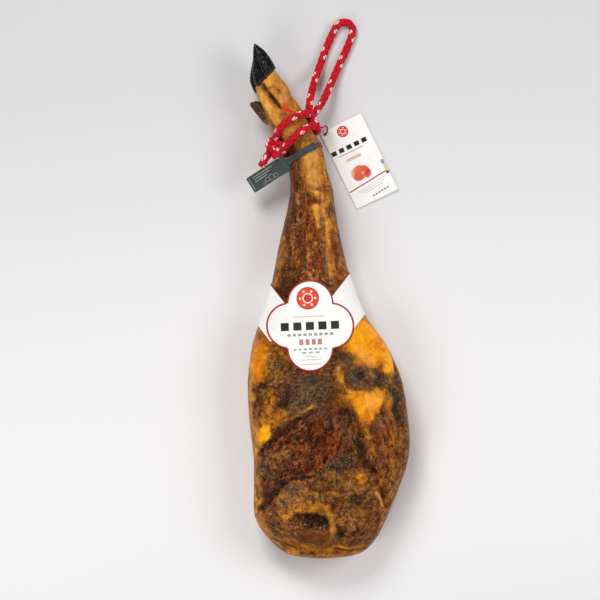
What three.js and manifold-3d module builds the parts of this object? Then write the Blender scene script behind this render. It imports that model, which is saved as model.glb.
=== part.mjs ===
// A dry-cured ham with its foot on, lying on its rind with the cut face up: the leg, its horn claws,
// the hanging rope round the shank, a moulded seal, a folded swing card and a paper collar.
// Millimetres. +X runs across the leg, +Y along it towards the foot, +Z up from the surface it lies on.
import * as THREE from "three";
import { mergeVertices } from "three/addons/utils/BufferGeometryUtils.js";
import Module from "manifold-3d";

const wasm = await Module();
wasm.setup();

// Driving dimensions.
const legLength = 828; // from the tip of the claws to the end of the rump
const legWidth = 262; // across the widest part of the rump
const legHeight = 112; // from the resting face to the highest part of the cut face
const clearance = 0.3; // between pieces that touch
const ropeDiameter = 12;
const turnSpacing = ropeDiameter + 7; // between the two turns of rope, along the leg
const ropeTail = 26; // the cut end below the knot
const sealPlate = {
  length: 72, width: 27, thick: 3, corner: 2, neck: 14, root: 0.12, tilt: 0.3, turn: 3.71,
};
const sealArm = { width: 10, thick: 2.4, from: 2.62, to: 0.95 };
const sealStrap = { width: 6, thick: 1 };
const sealPin = { radius: 2.6, height: 2.4, along: 0.35 };
const card = { width: 74, length: 137, leaf: 0.6, open: 2.2, hole: 2, inset: 6, turn: 0.454 };
const cardCordDiameter = 2.4;
const collar = { paper: 0.6, lift: 0.7, band: 66, lap: 14, lobe: 37, across: 33, along: 36 };

// The leg is drawn for 828 by 262 by 112, and the driving dimensions stretch it.
const stretch = new THREE.Vector3(legWidth / 262, legLength / 828, legHeight / 112);
const placed = (x, y, z = 0) => new THREE.Vector3(x, y, z).multiply(stretch);

// Sections from the foot to the rump: left x and y, right x and y, underside and top heights.
// Below zero the underside is cut off flat, which makes the face that the ham rests on.
const legSections = [
  [-98, 330, -98, 330, 47, 47],
  [-104, 321, -76, 345, 34, 61],
  [-102, 304, -52, 325, 25, 70],
  [-96, 285, -38, 304, 21, 73],
  [-80, 263, -25, 277, 20, 76],
  [-66, 240, -9, 250, 20, 77],
  [-61, 205, 0, 209, 20, 78],
  [-60, 178, 9.5, 179, 18, 80],
  [-65, 145, 13.5, 145, 16, 83],
  [-78, 92, 23.5, 92, 12, 87],
  [-89, 32, 39, 32, 8, 93],
  [-106, -24, 62, -24, 3, 99],
  [-120, -68, 94, -68, -3, 105],
  [-128, -125, 119.5, -125, -5, 110],
  [-125.5, -192, 130.5, -192, -6, 112],
  [-118.5, -250, 131, -250, -6, 111],
  [-118, -300, 115, -300, -5, 106],
  [-116, -348, 95, -348, -1, 95],
  [-90, -385, 76, -384, 8, 79],
  [-60, -407, 48, -406, 20, 64],
  [-8, -413, -8, -413, 42, 42],
];
const toeSections = {
  near: [
    [-97, 362, -97, 362, 59, 59],
    [-113, 350, -88, 374, 47.5, 70],
    [-111, 336, -75, 360, 47, 70.5],
    [-104, 315, -58, 335, 47, 70],
    [-88, 305, -60, 312, 52, 64],
    [-78, 305, -78, 305, 58, 58],
  ],
  far: [
    [-98, 352, -98, 352, 35, 35],
    [-115, 340, -90, 364, 24.5, 45.5],
    [-112, 326, -78, 350, 24, 46],
    [-104, 308, -60, 328, 24, 47],
    [-88, 298, -62, 305, 30, 44],
    [-80, 298, -80, 298, 36, 36],
  ],
  dewclaw: [
    [-112, 342, -112, 342, 63, 63],
    [-112.5, 335, -106, 340, 58, 68],
    [-108, 322, -95, 332, 53, 71],
    [-102, 305, -82, 318, 50, 73],
    [-92, 285, -70, 298, 50, 71],
    [-80, 282, -80, 282, 60, 60],
  ],
};
const hornSections = {
  near: [
    [-117, 414, -117, 414, 55, 55],
    [-118.5, 403, -110, 409, 51, 60],
    [-119, 386, -99, 400, 49, 66],
    [-119.5, 362, -88, 384, 47.6, 69.5],
    [-113, 343, -82, 373, 47.6, 70.5],
    [-104, 334, -73, 364, 47.6, 70],
    [-88, 349, -88, 349, 58, 58],
  ],
  far: [
    [-117, 395, -117, 395, 38, 38],
    [-120, 384, -110, 391, 34, 43],
    [-123, 368, -100, 384, 27, 45],
    [-123.5, 351, -90, 374, 24, 46],
    [-115, 333, -84, 363, 24, 46.2],
    [-106, 324, -75, 354, 24, 46],
    [-90, 339, -90, 339, 35, 35],
  ],
  rear: [
    [-116, 321, -116, 321, 44, 44],
    [-124.5, 317, -108, 320, 38, 50],
    [-119.5, 308, -101, 311, 34, 53],
    [-110, 296, -95, 300, 33, 54],
    [-100, 284, -88, 291, 34, 52],
    [-90, 284, -90, 284, 43, 43],
  ],
};
// Where the horn of each claw meets the skin: a point on that line and the way the claw points.
const coronets = {
  near: { at: [-98, 358], towards: [-0.7, 0.71] },
  far: { at: [-99.5, 348], towards: [-0.7, 0.71] },
};
const widestAt = 0.45; // the height of a section's widest line, as a share of its height
const roundness = 0.97; // 1 for an ellipse, less for squarer corners

// One point of a lofted skin: along runs from 0 at the first section to 1 at the last, angle from
// +X over +Z, and grow moves the skin outwards.
function skinPoint(sections, along, angle, grow = 0) {
  const places = sections.map((_, i) => i);
  const between = new THREE.CubicInterpolant(places, sections.flat(), sections[0].length);
  const [lx, ly, rx, ry, low, high] = between.evaluate(along * (sections.length - 1));
  const left = placed(lx, ly);
  const across = placed(rx, ry).sub(left);
  const under = low * stretch.z;
  const over = high * stretch.z;
  const widest = under + (over - under) * widestAt;
  const [c, s] = [Math.cos(angle), Math.sin(angle)];
  const rise = s > 0 ? over - widest : widest - under;
  const sideways = Math.sign(c) * Math.abs(c) ** roundness * (across.length() / 2 + grow);
  const point = left.addScaledVector(across, 0.5).addScaledVector(across.normalize(), sideways);
  point.z = Math.max(-grow, widest + Math.sign(s) * Math.abs(s) ** roundness * (rise + grow));
  return point;
}

// The leg's skin at a distance along Y, found by halving.
function legAt(y, angle, grow = 0) {
  let [near, far] = [0.02, 0.98];
  for (let i = 0; i < 30; i++) {
    const middle = (near + far) / 2;
    if (skinPoint(legSections, middle, angle).y > y) near = middle;
    else far = middle;
  }
  return skinPoint(legSections, near, angle, grow);
}

// How far along the leg a slanting plane lies at an angle round it: its place on the leg's axis,
// and its rise towards +X and +Z.
function slanting({ y, right, front }, angle) {
  return (y + right * Math.cos(angle) + front * Math.sin(angle)) * stretch.y;
}

// A closed skin over the sections: a sphere whose poles are the first and the last of them.
function loft(sections, around, along, grow = 0) {
  const skin = new THREE.SphereGeometry(1, around, along);
  const position = skin.getAttribute("position");
  const v = new THREE.Vector3();
  for (let i = 0; i < position.count; i++) {
    v.fromBufferAttribute(position, i);
    const share = Math.acos(THREE.MathUtils.clamp(v.y, -1, 1)) / Math.PI;
    const atPole = Math.abs(v.y) > 1 - 1e-6;
    v.copy(skinPoint(sections, share, Math.atan2(v.z, v.x), atPole ? 0 : grow));
    position.setXYZ(i, v.x, v.y, v.z);
  }
  return solid(skin);
}

// A box bent into place: place(u, v, w) gives the point for shares 0 to 1 of its three sides.
function bentBox(across, up, place) {
  const box = new THREE.BoxGeometry(1, 1, 1, across, up, 1).translate(0.5, 0.5, 0.5);
  const position = box.getAttribute("position");
  for (let i = 0; i < position.count; i++) {
    const shares = [position.getX(i), position.getY(i), position.getZ(i)];
    position.setXYZ(i, ...place(...shares).toArray());
  }
  return solid(box);
}

// A round tube along a smooth curve through the points.
function tube(points, radius, steps, sides = 10) {
  const section = new THREE.Shape();
  section.absarc(0, 0, radius, 0, 2 * Math.PI);
  const along = { steps, curveSegments: sides / 2, bevelEnabled: false };
  along.extrudePath = new THREE.CatmullRomCurve3(points);
  return solid(new THREE.ExtrudeGeometry(section, along));
}

function solid(geometry) {
  const bare = geometry.clone().deleteAttribute("normal").deleteAttribute("uv");
  const merged = mergeVertices(bare, 1e-3);
  return new wasm.Manifold(
    new wasm.Mesh({
      numProp: 3,
      vertProperties: new Float32Array(merged.getAttribute("position").array),
      triVerts: new Uint32Array(merged.index.array),
    }),
  );
}

const ham = new THREE.Group();
const looks = {
  cured: { color: 0xb4701c, roughness: 0.45, metalness: 0 },
  horn: { color: 0x1e1d1b, roughness: 0.4, metalness: 0 },
  brownHorn: { color: 0x5c3a26, roughness: 0.5, metalness: 0 },
  rope: { color: 0xb00c22, roughness: 0.8, metalness: 0 },
  seal: { color: 0x33413d, roughness: 0.5, metalness: 0 },
  paper: { color: 0xf6f5f2, roughness: 0.7, metalness: 0 },
};

function addPiece(name, made, look) {
  const { vertProperties, triVerts } = made.getMesh();
  const geometry = new THREE.BufferGeometry();
  geometry.setAttribute("position", new THREE.BufferAttribute(vertProperties, 3));
  geometry.setIndex(new THREE.BufferAttribute(triVerts, 1));
  const mesh = new THREE.Mesh(geometry, new THREE.MeshStandardMaterial(look));
  mesh.name = name;
  ham.add(mesh);
}

// A block over everything on one side of a coronet: side is 1 for the horn and -1 for the skin.
function coronetBlock({ at, towards }, side) {
  const size = 200;
  const block = new THREE.BoxGeometry(size, size, size);
  block.translate(0, (side * (size + clearance)) / 2, 0);
  block.rotateZ(Math.atan2(towards[1], towards[0]) - Math.PI / 2);
  block.translate(...placed(...at, 50).toArray());
  return solid(block);
}

// The leg with its toes and the soft dewclaw, one grown piece; grow moves its skin outwards.
function legSolid(grow = 0) {
  const toe = (side) =>
    loft(toeSections[side], 18, 12, grow).intersect(coronetBlock(coronets[side], -1));
  return loft(legSections, 60, 52, grow)
    .add(toe("near"))
    .add(toe("far"))
    .add(loft(toeSections.dewclaw, 16, 12, grow));
}
const clearOfLeg = legSolid(clearance);
addPiece("ham", legSolid(), looks.cured);

// The horn: a claw on each toe, and the broken shell of the rear dewclaw.
const claw = (side) => loft(hornSections[side], 18, 14).intersect(coronetBlock(coronets[side], 1));
addPiece("near_claw", claw("near"), looks.horn);
addPiece("far_claw", claw("far"), looks.horn);
addPiece("rear_dewclaw", loft(hornSections.rear, 16, 12).subtract(clearOfLeg), looks.brownHorn);

// The rope: two turns held round the shank, their knot with its cut end, and the hanging loop.
const ropeRadius = ropeDiameter / 2;
const turns = {
  upper: { y: 277, right: 19, front: 10 },
  lower: { y: 277 - turnSpacing, right: 19, front: 7 },
};

function turnPoint(turn, angle) {
  return legAt(slanting(turn, angle), angle, ropeRadius + clearance);
}

// A turn starts and ends at the left, where the knot is; grow makes it thicker.
function ropeTurn(turn, grow = 0) {
  const knots = 24;
  const spare = 0.09;
  const points = [];
  for (let i = 0; i <= knots; i++) {
    points.push(turnPoint(turn, Math.PI + spare + (i / knots) * 2 * (Math.PI - spare)));
  }
  return tube(points, ropeRadius + grow, 32);
}

// The knot is a lump over both turns with a cut end below it; grow makes both larger all round.
function knotSolid(grow = 0) {
  const lump = new THREE.SphereGeometry(1, 20, 14);
  const place = turnPoint(turns.upper, Math.PI)
    .lerp(turnPoint(turns.lower, Math.PI), 0.5)
    .add(new THREE.Vector3(-1.3, -0.3, 2.6).multiplyScalar(ropeRadius));
  lump.scale(3.2 * ropeRadius + grow, 2.7 * ropeRadius + grow, 2.2 * ropeRadius + grow);
  lump.rotateZ(-0.6).translate(place.x, place.y, place.z);
  const down = new THREE.Vector3(-0.5, -0.8, -0.32).normalize();
  const end = place.clone().addScaledVector(down, ropeTail + ropeRadius + grow);
  return solid(lump).add(tube([place, end], ropeRadius + grow, 4));
}
const clearOfRope = knotSolid(clearance);
const clearOfBoth = clearOfLeg.add(clearOfRope);
addPiece("rope_knot", knotSolid().subtract(clearOfLeg), looks.rope);
addPiece("rope_turn_upper", ropeTurn(turns.upper).subtract(clearOfBoth), looks.rope);
addPiece("rope_turn_lower", ropeTurn(turns.lower).subtract(clearOfBoth), looks.rope);

// The loop leaves the turns at the shank's right side, drops to the surface and lies there. Its
// points are measured from the right end of the upper turn, and their heights are those of its
// underside.
const loopPoints = [
  [-1.5, 9, 47.5], [0, 23, 41], [3, 39, 30], [7, 54, 18], [12, 70, 7.5], [18, 87, 1.6],
  [24, 104, 0.2], [30, 119, 0.1], [36, 132, 0.1], [42.5, 144, 0.1], [52, 151.5, 0.1],
  [62.5, 150.5, 0.1], [68.5, 142, 0.1], [67.5, 130, 0.1], [63, 118, 0.1], [57, 104, 0.2],
  [50, 89, 0.8], [43, 73, 3.5], [36, 57, 9], [29, 41, 18], [21, 24, 28], [8.5, 5, 38],
];
const turnRight = turnPoint(turns.upper, 0).setZ(0);
const loopRoute = loopPoints.map(([x, y, under]) =>
  new THREE.Vector3(x, y, under + ropeRadius).add(turnRight),
);
const clearOfTurns = ropeTurn(turns.upper, clearance).add(ropeTurn(turns.lower, clearance));
addPiece("rope_loop", tube(loopRoute, ropeRadius, 48).subtract(clearOfTurns), looks.rope);

// The seal: a plate beside the shank with an arm across its front, and a strap round its back.
const sealPlane = { y: 236, right: 15, front: 4 };

function bandOnShank({ width, thick }, from, sweep, steps) {
  return bentBox(steps, 2, (u, v, w) => {
    const angle = from - u * sweep;
    const along = slanting(sealPlane, angle) + (v - 0.5) * width;
    return legAt(along, angle, 2 * clearance + w * thick);
  });
}
const armSweep = sealArm.from - sealArm.to;
const strapGap = 0.02;
const strapSweep = 2 * (Math.PI - strapGap) - armSweep;
const arm = bandOnShank(sealArm, sealArm.from, armSweep, 14);
const strap = bandOnShank(sealStrap, sealArm.to - strapGap, strapSweep, 40);

function sealPoint(angle) {
  return legAt(slanting(sealPlane, angle), angle, sealArm.thick);
}

// The plate narrows into a neck that runs on to the arm.
function plateSolid() {
  const { length, width, thick, corner, neck, tilt, turn } = sealPlate;
  const [half, inner] = [width / 2, width / 2 - corner];
  const outline = new THREE.Shape();
  outline.moveTo(-neck, -sealArm.width / 2);
  outline.lineTo(0, -sealArm.width / 2);
  outline.lineTo(corner, -half);
  outline.absarc(length - corner, -inner, corner, -Math.PI / 2, 0);
  outline.absarc(length - corner, inner, corner, 0, Math.PI / 2);
  outline.lineTo(corner, half);
  outline.lineTo(0, sealArm.width / 2);
  outline.lineTo(-neck, sealArm.width / 2);
  const plate = new THREE.ExtrudeGeometry(outline, {
    depth: thick,
    curveSegments: 3,
    bevelEnabled: false,
  });
  plate.translate(neck / 2, 0, -thick / 2).rotateY(tilt).rotateZ(turn);
  return solid(plate.translate(...sealPoint(sealArm.from - sealPlate.root).toArray()));
}
const pin = new THREE.CylinderGeometry(sealPin.radius, sealPin.radius, 2 * sealPin.height, 16);
pin.rotateX(Math.PI / 2);
pin.translate(...sealPoint(sealArm.to + sealPin.along * armSweep).toArray());
const tag = plateSolid().add(arm).add(solid(pin));
addPiece("seal_tag", tag.subtract(clearOfBoth), looks.seal);
addPiece("seal_strap", strap.subtract(clearOfRope), looks.seal);

// The folded card lies on the surface beside the shank, hung from the lower turn's right end; its
// leaves open away from the fold.
const cardReach = new THREE.Vector3(69.9, -52.6, 0);
const cardPlace = turnPoint(turns.lower, 0).setZ(0).add(cardReach);
const onSurface = (geometry) =>
  solid(geometry.rotateZ(card.turn).translate(cardPlace.x, cardPlace.y, 0));
const holePlace = new THREE.Vector3(card.inset - card.width / 2, card.length / 2 - card.inset, 0);

function cardSolid() {
  const { width, leaf, open } = card;
  const fold = new THREE.Shape();
  fold.moveTo(0, 0);
  fold.lineTo(width, 0);
  fold.lineTo(width, leaf);
  fold.lineTo(leaf, leaf);
  fold.lineTo(width, leaf + open);
  fold.lineTo(width, 2 * leaf + open);
  fold.lineTo(0, 2 * leaf);
  const leaves = new THREE.ExtrudeGeometry(fold, { depth: card.length, bevelEnabled: false });
  leaves.rotateX(Math.PI / 2).translate(-width / 2, card.length / 2, 0);
  const hole = new THREE.CylinderGeometry(card.hole, card.hole, 20, 16).rotateX(Math.PI / 2);
  hole.translate(holePlace.x, holePlace.y, 0);
  return onSurface(leaves).subtract(onSurface(hole));
}
addPiece("swing_card", cardSolid(), looks.paper);

// The thin cord from the lower turn to the card's hole, its points measured from the hole.
const cardCordPoints = [
  [-12, 9, 46], [-6, 10, 47], [-1, 11.5, 42], [2, 13, 32], [3.5, 12.5, 20], [4.5, 9, 9],
  [4, 4, 5], [1, 0.8, 4.6], [0, 0, 2.4], [0, 0, 1.2],
];
const upZ = new THREE.Vector3(0, 0, 1);
const holeAt = holePlace.clone().applyAxisAngle(upZ, card.turn).add(cardPlace);
const cardCordRoute = cardCordPoints.map((point) => new THREE.Vector3(...point).add(holeAt));
const cardCord = tube(cardCordRoute, cardCordDiameter / 2, 24, 8);
addPiece("card_cord", cardCord.subtract(clearOfTurns), looks.rope);

// The paper collar: a band round the leg with a four-lobed panel on its front, its ends lapped
// below. side is 1 for its edge towards the foot and -1 for the other.
const collarPlane = { y: 3.9, right: 9.1, front: 0 };
const bandSwing = { front: 1.3, behind: 41 };
const bandInset = 12; // how far short of the foot of the side lobes the band's lower edge stops
const panelPlace = placed(-27.5, -38.7);
const edgeSteps = 14;
const lobes = [[0, 1], [0, -1], [-1, 0], [1, 0]].map(([x, y]) => [
  panelPlace.x + x * collar.across,
  panelPlace.y + y * collar.along,
]);

// In front the band's edges run straight down to the panel from each side of the leg.
function bandEdge(x, angle, side) {
  const half = (side * collar.band) / 2;
  if (Math.sin(angle) < 0) {
    return slanting(collarPlane, angle) + half + bandSwing.behind * (1 - Math.abs(Math.cos(angle)));
  }
  const outwards = Math.cos(angle) < 0 ? Math.PI : 0;
  const corner = slanting(collarPlane, outwards) + half;
  const inwards = Math.cos(outwards) * (legAt(corner, outwards).x - x);
  const band = corner - bandSwing.front * Math.max(inwards, 0);
  return side < 0 ? Math.max(band, panelPlace.y - collar.lobe + bandInset) : band;
}

// The leg widens under the panel, so an edge is found in steps from the width at its own place.
function collarEdge(angle, side) {
  let edge = panelPlace.y;
  for (let step = 0; step < edgeSteps; step++) {
    const { x } = legAt(edge, angle);
    const reaches = lobes
      .filter(([cx]) => Math.sin(angle) > 0 && Math.abs(x - cx) < collar.lobe)
      .map(([cx, cy]) => side * cy + Math.sqrt(collar.lobe ** 2 - (x - cx) ** 2));
    edge = (edge + side * Math.max(side * bandEdge(x, angle, side), ...reaches)) / 2;
  }
  return edge;
}

function collarSolid() {
  const seam = 1.5 * Math.PI;
  const lapAngle = collar.lap / (legWidth / 4);
  const lapLift = collar.paper + 2 * collar.lift;
  return bentBox(84, 8, (u, v, w) => {
    const angle = seam - u * (2 * Math.PI + lapAngle);
    const [low, high] = [collarEdge(angle, -1), collarEdge(angle, 1)];
    const lift = collar.lift + u ** 8 * lapLift + w * collar.paper;
    return legAt(low + v * (high - low), angle, lift);
  });
}
addPiece("neck_collar", collarSolid(), looks.paper);

// The origin is on the surface, in the middle of everything but the free cords.
const freeCords = ["rope_loop", "card_cord"];
const box = new THREE.Box3();
for (const piece of ham.children) {
  if (!freeCords.includes(piece.name)) box.expandByObject(piece);
}
const centre = box.getCenter(new THREE.Vector3());
for (const piece of ham.children) piece.geometry.translate(-centre.x, -centre.y, 0);

export default ham;
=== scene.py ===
"""A dry-cured ham lying on its rind, with its claws, hanging rope, seal, swing card and collar.

The frame's axes are kept: +X across the leg, +Y towards the foot, +Z up, in metres. Inside the
classes sizes are millimetres, measured from the leg's own origin under the shank, and MM turns
them into metres.
"""
import itertools
import logging
import math
from collections.abc import Callable, Sequence
from dataclasses import dataclass, replace
from enum import Enum

import bmesh
import bpy
import numpy as np
from mathutils import Matrix, Vector
from mathutils.bvhtree import BVHTree


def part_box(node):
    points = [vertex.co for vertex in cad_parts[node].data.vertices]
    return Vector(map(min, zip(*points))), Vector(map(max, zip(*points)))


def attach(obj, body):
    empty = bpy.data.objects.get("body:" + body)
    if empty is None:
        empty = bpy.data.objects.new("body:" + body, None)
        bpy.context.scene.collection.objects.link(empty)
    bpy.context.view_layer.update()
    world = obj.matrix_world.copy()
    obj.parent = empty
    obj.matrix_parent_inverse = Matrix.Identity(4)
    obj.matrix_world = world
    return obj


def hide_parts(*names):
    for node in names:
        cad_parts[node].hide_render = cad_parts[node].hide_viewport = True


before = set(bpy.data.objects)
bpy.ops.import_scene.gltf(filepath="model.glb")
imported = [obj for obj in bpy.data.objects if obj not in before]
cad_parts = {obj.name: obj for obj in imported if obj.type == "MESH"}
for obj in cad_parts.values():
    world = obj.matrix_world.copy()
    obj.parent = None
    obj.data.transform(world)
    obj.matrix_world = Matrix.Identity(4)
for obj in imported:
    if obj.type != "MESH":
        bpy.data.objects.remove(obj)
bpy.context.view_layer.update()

MM = 0.001
BODY = "root"
SAME_PLACE = 1e-6  # vertices nearer than this, in metres, are joined
BETWEEN = 24  # points of a smooth route from one given point to the next
log = logging.getLogger("ham")

Array = np.ndarray
Pair = tuple[float, float]
Point = tuple[float, float, float]
Colour = tuple[float, float, float]
Mesh = bpy.types.Mesh
Work = bmesh.types.BMesh
Material = bpy.types.Material
Socket = bpy.types.NodeSocket

# The leg's own origin, in the frame's millimetres: a set way in from the corner of its box.
LEG_ORIGIN = np.array([*(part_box("ham")[0] / MM)[:2], 0.0]) + (128.14, 413.0, 0.0)


def shade(red: float, green: float, blue: float) -> Colour:
    """A colour as a screen codes it, from 0 to 255, made linear for the shader."""
    return tuple((c / 255 / 12.92) if c < 10.3 else ((c / 255 + 0.055) / 1.055) ** 2.4
                 for c in (red, green, blue))


def smoothstep(low: float, high: float, value: Array) -> Array:
    """0 at low, 1 at high, and smooth between, whichever of the two is larger."""
    share = np.clip((value - low) / (high - low), 0, 1)
    return share * share * (3 - 2 * share)


# ---- mesh helpers


def per_vertex(mesh: Mesh, key: str) -> Array:
    """One row of three numbers for each vertex: co for its place, normal for its normal."""
    flat = np.zeros(len(mesh.vertices) * 3, np.float32)
    mesh.vertices.foreach_get(key, flat)
    return flat.reshape(-1, 3).astype(float)


def points_of(mesh: Mesh) -> Array:
    """The vertices in millimetres from the leg's origin."""
    return per_vertex(mesh, "co") / MM - LEG_ORIGIN


def normals_of(mesh: Mesh) -> Array:
    """The vertex normals."""
    return per_vertex(mesh, "normal")


def move_points(mesh: Mesh, points: Array) -> None:
    """Sets the vertices.

    Args:
        mesh: the mesh that is changed.
        points: its new vertices, in millimetres from the leg's origin.
    """
    flat = ((points + LEG_ORIGIN) * MM).astype(np.float32)
    mesh.vertices.foreach_set("co", flat.ravel())
    mesh.update()


def paint_attribute(mesh: Mesh, name: str, values: Array) -> None:
    """Stores one value per vertex: a number, a vector or, with four columns, a colour.

    Args:
        mesh: the mesh that gets the attribute.
        name: what the material reads it by.
        values: (n,), (n, 3) or (n, 4) numbers.
    """
    kinds = {1: ("FLOAT", "value"), 3: ("FLOAT_VECTOR", "vector"), 4: ("FLOAT_COLOR", "color")}
    columns = 1 if values.ndim == 1 else values.shape[1]
    kind, key = kinds[columns]
    layer = mesh.attributes.new(name, kind, "POINT")
    layer.data.foreach_set(key, values.astype(np.float32).ravel())


def finished(work: Work, name: str) -> Mesh:
    """A new mesh of what was made, which is used up."""
    mesh = bpy.data.meshes.new(name)
    work.to_mesh(mesh)
    work.free()
    return mesh


def bent_sheet(name: str, columns: int, rows: int,
               place: Callable[[Array, Array], Array]) -> Mesh:
    """A flat grid bent into its place, with a UV map of its shares.

    Args:
        name: the mesh's name.
        columns: faces across the grid, along u.
        rows: faces up the grid, along v.
        place: gives the points, in millimetres from the leg's origin, for shares u and v.

    Returns:
        The finished mesh.
    """
    work = bmesh.new()
    work.loops.layers.uv.new("UVMap")
    bmesh.ops.create_grid(work, x_segments=columns, y_segments=rows, size=0.5, calc_uvs=True)
    shares = np.array([v.co[:] for v in work.verts]) + 0.5
    points = (place(shares[:, 0], shares[:, 1]) + LEG_ORIGIN) * MM
    for vertex, point in zip(work.verts, points):
        vertex.co = point
    bmesh.ops.recalc_face_normals(work, faces=work.faces)
    return finished(work, name)


def with_thickness(mesh: Mesh, thick: float) -> None:
    """Gives an open sheet its thickness, outwards from the side that its normals leave.

    Args:
        mesh: the sheet, which is changed.
        thick: its thickness in millimetres.
    """
    work = bmesh.new()
    work.from_mesh(mesh)
    bmesh.ops.solidify(work, geom=list(work.faces), thickness=-thick * MM)
    bmesh.ops.recalc_face_normals(work, faces=work.faces)
    work.to_mesh(mesh)
    work.free()


def add_piece(name: str, mesh: Mesh, slot: str, *nodes: str,
              finishes: Sequence[Material]) -> bpy.types.Object:
    """Makes a piece of the model, smooth shaded, riding on the ham's one body.

    Args:
        name: the piece's name.
        mesh: its mesh, already in place.
        slot: the record's material slot, which is not used.
        nodes: the solids that it stands for.
        finishes: its materials, in the order of the mesh's material numbers.

    Returns:
        The piece.
    """
    piece = bpy.data.objects.new(name, mesh)
    bpy.context.scene.collection.objects.link(piece)
    for finish in finishes:
        mesh.materials.append(finish)
    mesh.polygons.foreach_set("use_smooth", [True] * len(mesh.polygons))
    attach(piece, BODY)
    if nodes:
        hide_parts(*nodes)
    log.info("%s: %d faces", name, len(mesh.polygons))
    return piece


def solid_copy(node: str, voxel: float, smoothing: int) -> Mesh:
    """A fine, even, smooth copy of one of the frame's solids.

    Args:
        node: the solid's name.
        voxel: the size of the new faces, in millimetres.
        smoothing: how many times the vertices are evened out.

    Returns:
        The new mesh.
    """
    work = bmesh.new()
    work.from_mesh(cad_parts[node].data)
    bmesh.ops.remove_doubles(work, verts=work.verts, dist=SAME_PLACE)
    mesh = finished(work, node + "_copy")
    lump = bpy.data.objects.new(node + "_copy", mesh)
    bpy.context.scene.collection.objects.link(lump)
    remesh = lump.modifiers.new("remesh", "REMESH")
    remesh.mode = "VOXEL"
    remesh.voxel_size = voxel * MM
    smooth = lump.modifiers.new("smooth", "SMOOTH")
    smooth.factor = 0.5
    smooth.iterations = smoothing
    graph = bpy.context.evaluated_depsgraph_get()
    made = bpy.data.meshes.new_from_object(lump.evaluated_get(graph))
    bpy.data.objects.remove(lump)
    bpy.data.meshes.remove(mesh)
    made.materials.clear()
    return made


def smooth_route(points: Sequence[Sequence[float]], spacing: float) -> Array:
    """A smooth curve through the points, as a centripetal spline gives it.

    Args:
        points: the points that it passes through.
        spacing: the distance between the points of the answer.

    Returns:
        Points evenly spaced along the curve.
    """
    given = np.asarray(points, float)
    given = np.vstack([2 * given[0] - given[1], given, 2 * given[-1] - given[-2]])
    steps = np.linalg.norm(np.diff(given, axis=0), axis=1) ** 0.5
    slopes = np.diff(given, axis=0) / steps[:, None]
    wide = (given[2:] - given[:-2]) / (steps[1:] + steps[:-1])[:, None]
    tangents = slopes[:-1] - wide + slopes[1:]
    share = np.linspace(0, 1, BETWEEN + 1)[:-1, None]
    dense = []
    for i in range(len(given) - 3):
        start, end = given[i + 1], given[i + 2]
        step = steps[i + 1]
        dense.append((2 * share**3 - 3 * share**2 + 1) * start
                     + (share**3 - 2 * share**2 + share) * step * tangents[i]
                     + (3 * share**2 - 2 * share**3) * end
                     + (share**3 - share**2) * step * tangents[i + 1])
    line = np.vstack([*dense, given[-2]])
    run = np.concatenate([[0.0], np.cumsum(np.linalg.norm(np.diff(line, axis=0), axis=1))])
    wanted = np.linspace(0, run[-1], max(2, round(run[-1] / spacing) + 1))
    return np.stack([np.interp(wanted, run, line[:, k]) for k in range(3)], axis=1)


def length_of(line: Array) -> float:
    """The length of a line of points."""
    return float(np.linalg.norm(np.diff(line, axis=0), axis=1).sum())


def side_vectors(line: Array) -> tuple[Array, Array]:
    """Two directions square to the line at each of its points, turning as little as they can.

    Args:
        line: the line's points.

    Returns:
        The two directions at each point, each one long.
    """
    along = np.gradient(line, axis=0)
    along /= np.linalg.norm(along, axis=1)[:, None]
    first = np.cross(along[0], (0.0, 0.0, 1.0))
    if np.linalg.norm(first) < 0.1:  # the line starts upright
        first = np.cross(along[0], (0.0, 1.0, 0.0))
    sides = [first / np.linalg.norm(first)]
    for direction in along[1:]:
        side = sides[-1] - direction * (sides[-1] @ direction)
        sides.append(side / np.linalg.norm(side))
    side = np.array(sides)
    return side, np.cross(along, side)


class Speckle:
    """Smooth noise over points, the same at every run."""

    cells = 8192
    keys = np.array([73856093, 19349663, 83492791])  # large odd numbers, one to each axis
    shift = 31.7  # from one layer of noise to the next

    def __init__(self, seed: int) -> None:
        """Draws the table that the noise is read from."""
        self.table = np.random.default_rng(seed).random(self.cells)

    def at(self, points: Array, size: Sequence[float] | float) -> Array:
        """Noise from 0 to 1.

        Args:
            points: where it is wanted.
            size: the size of its lumps, which may differ along each axis.

        Returns:
            The noise at each point.
        """
        scaled = points / np.asarray(size, float)
        cell = np.floor(scaled).astype(np.int64)
        share = scaled - cell
        share = share * share * (3 - 2 * share)
        total = np.zeros(len(points))
        for corner in itertools.product((0, 1), repeat=3):
            weight = np.prod(np.where(corner, share, 1 - share), axis=1)
            key = (cell + corner) @ self.keys
            total += weight * self.table[key % self.cells]
        return total

    def layered(self, points: Array, size: Sequence[float] | float, layers: int = 3) -> Array:
        """Noise from 0 to 1 in several sizes, each half the last.

        Args:
            points: where it is wanted.
            size: the size of its largest lumps, which may differ along each axis.
            layers: how many sizes there are.

        Returns:
            The noise at each point.
        """
        size = np.asarray(size, float)
        shares = [0.5**i for i in range(layers)]
        total = sum(w * self.at(points + self.shift * i, size * 0.5**i)
                    for i, w in enumerate(shares))
        return total / sum(shares)


@dataclass(frozen=True)
class Wobble:
    """Noise about zero: how far it ranges, the size of its lumps, its layers and its shift."""

    range: float
    size: float | Point
    layers: int = 3
    shift: float = 0.0

    def at(self, speckle: Speckle, points: Array) -> Array:
        """The noise at each point, half its range to either side of zero."""
        return self.range * (speckle.layered(points + self.shift, self.size, self.layers) - 0.5)


# ---- material helpers


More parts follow.
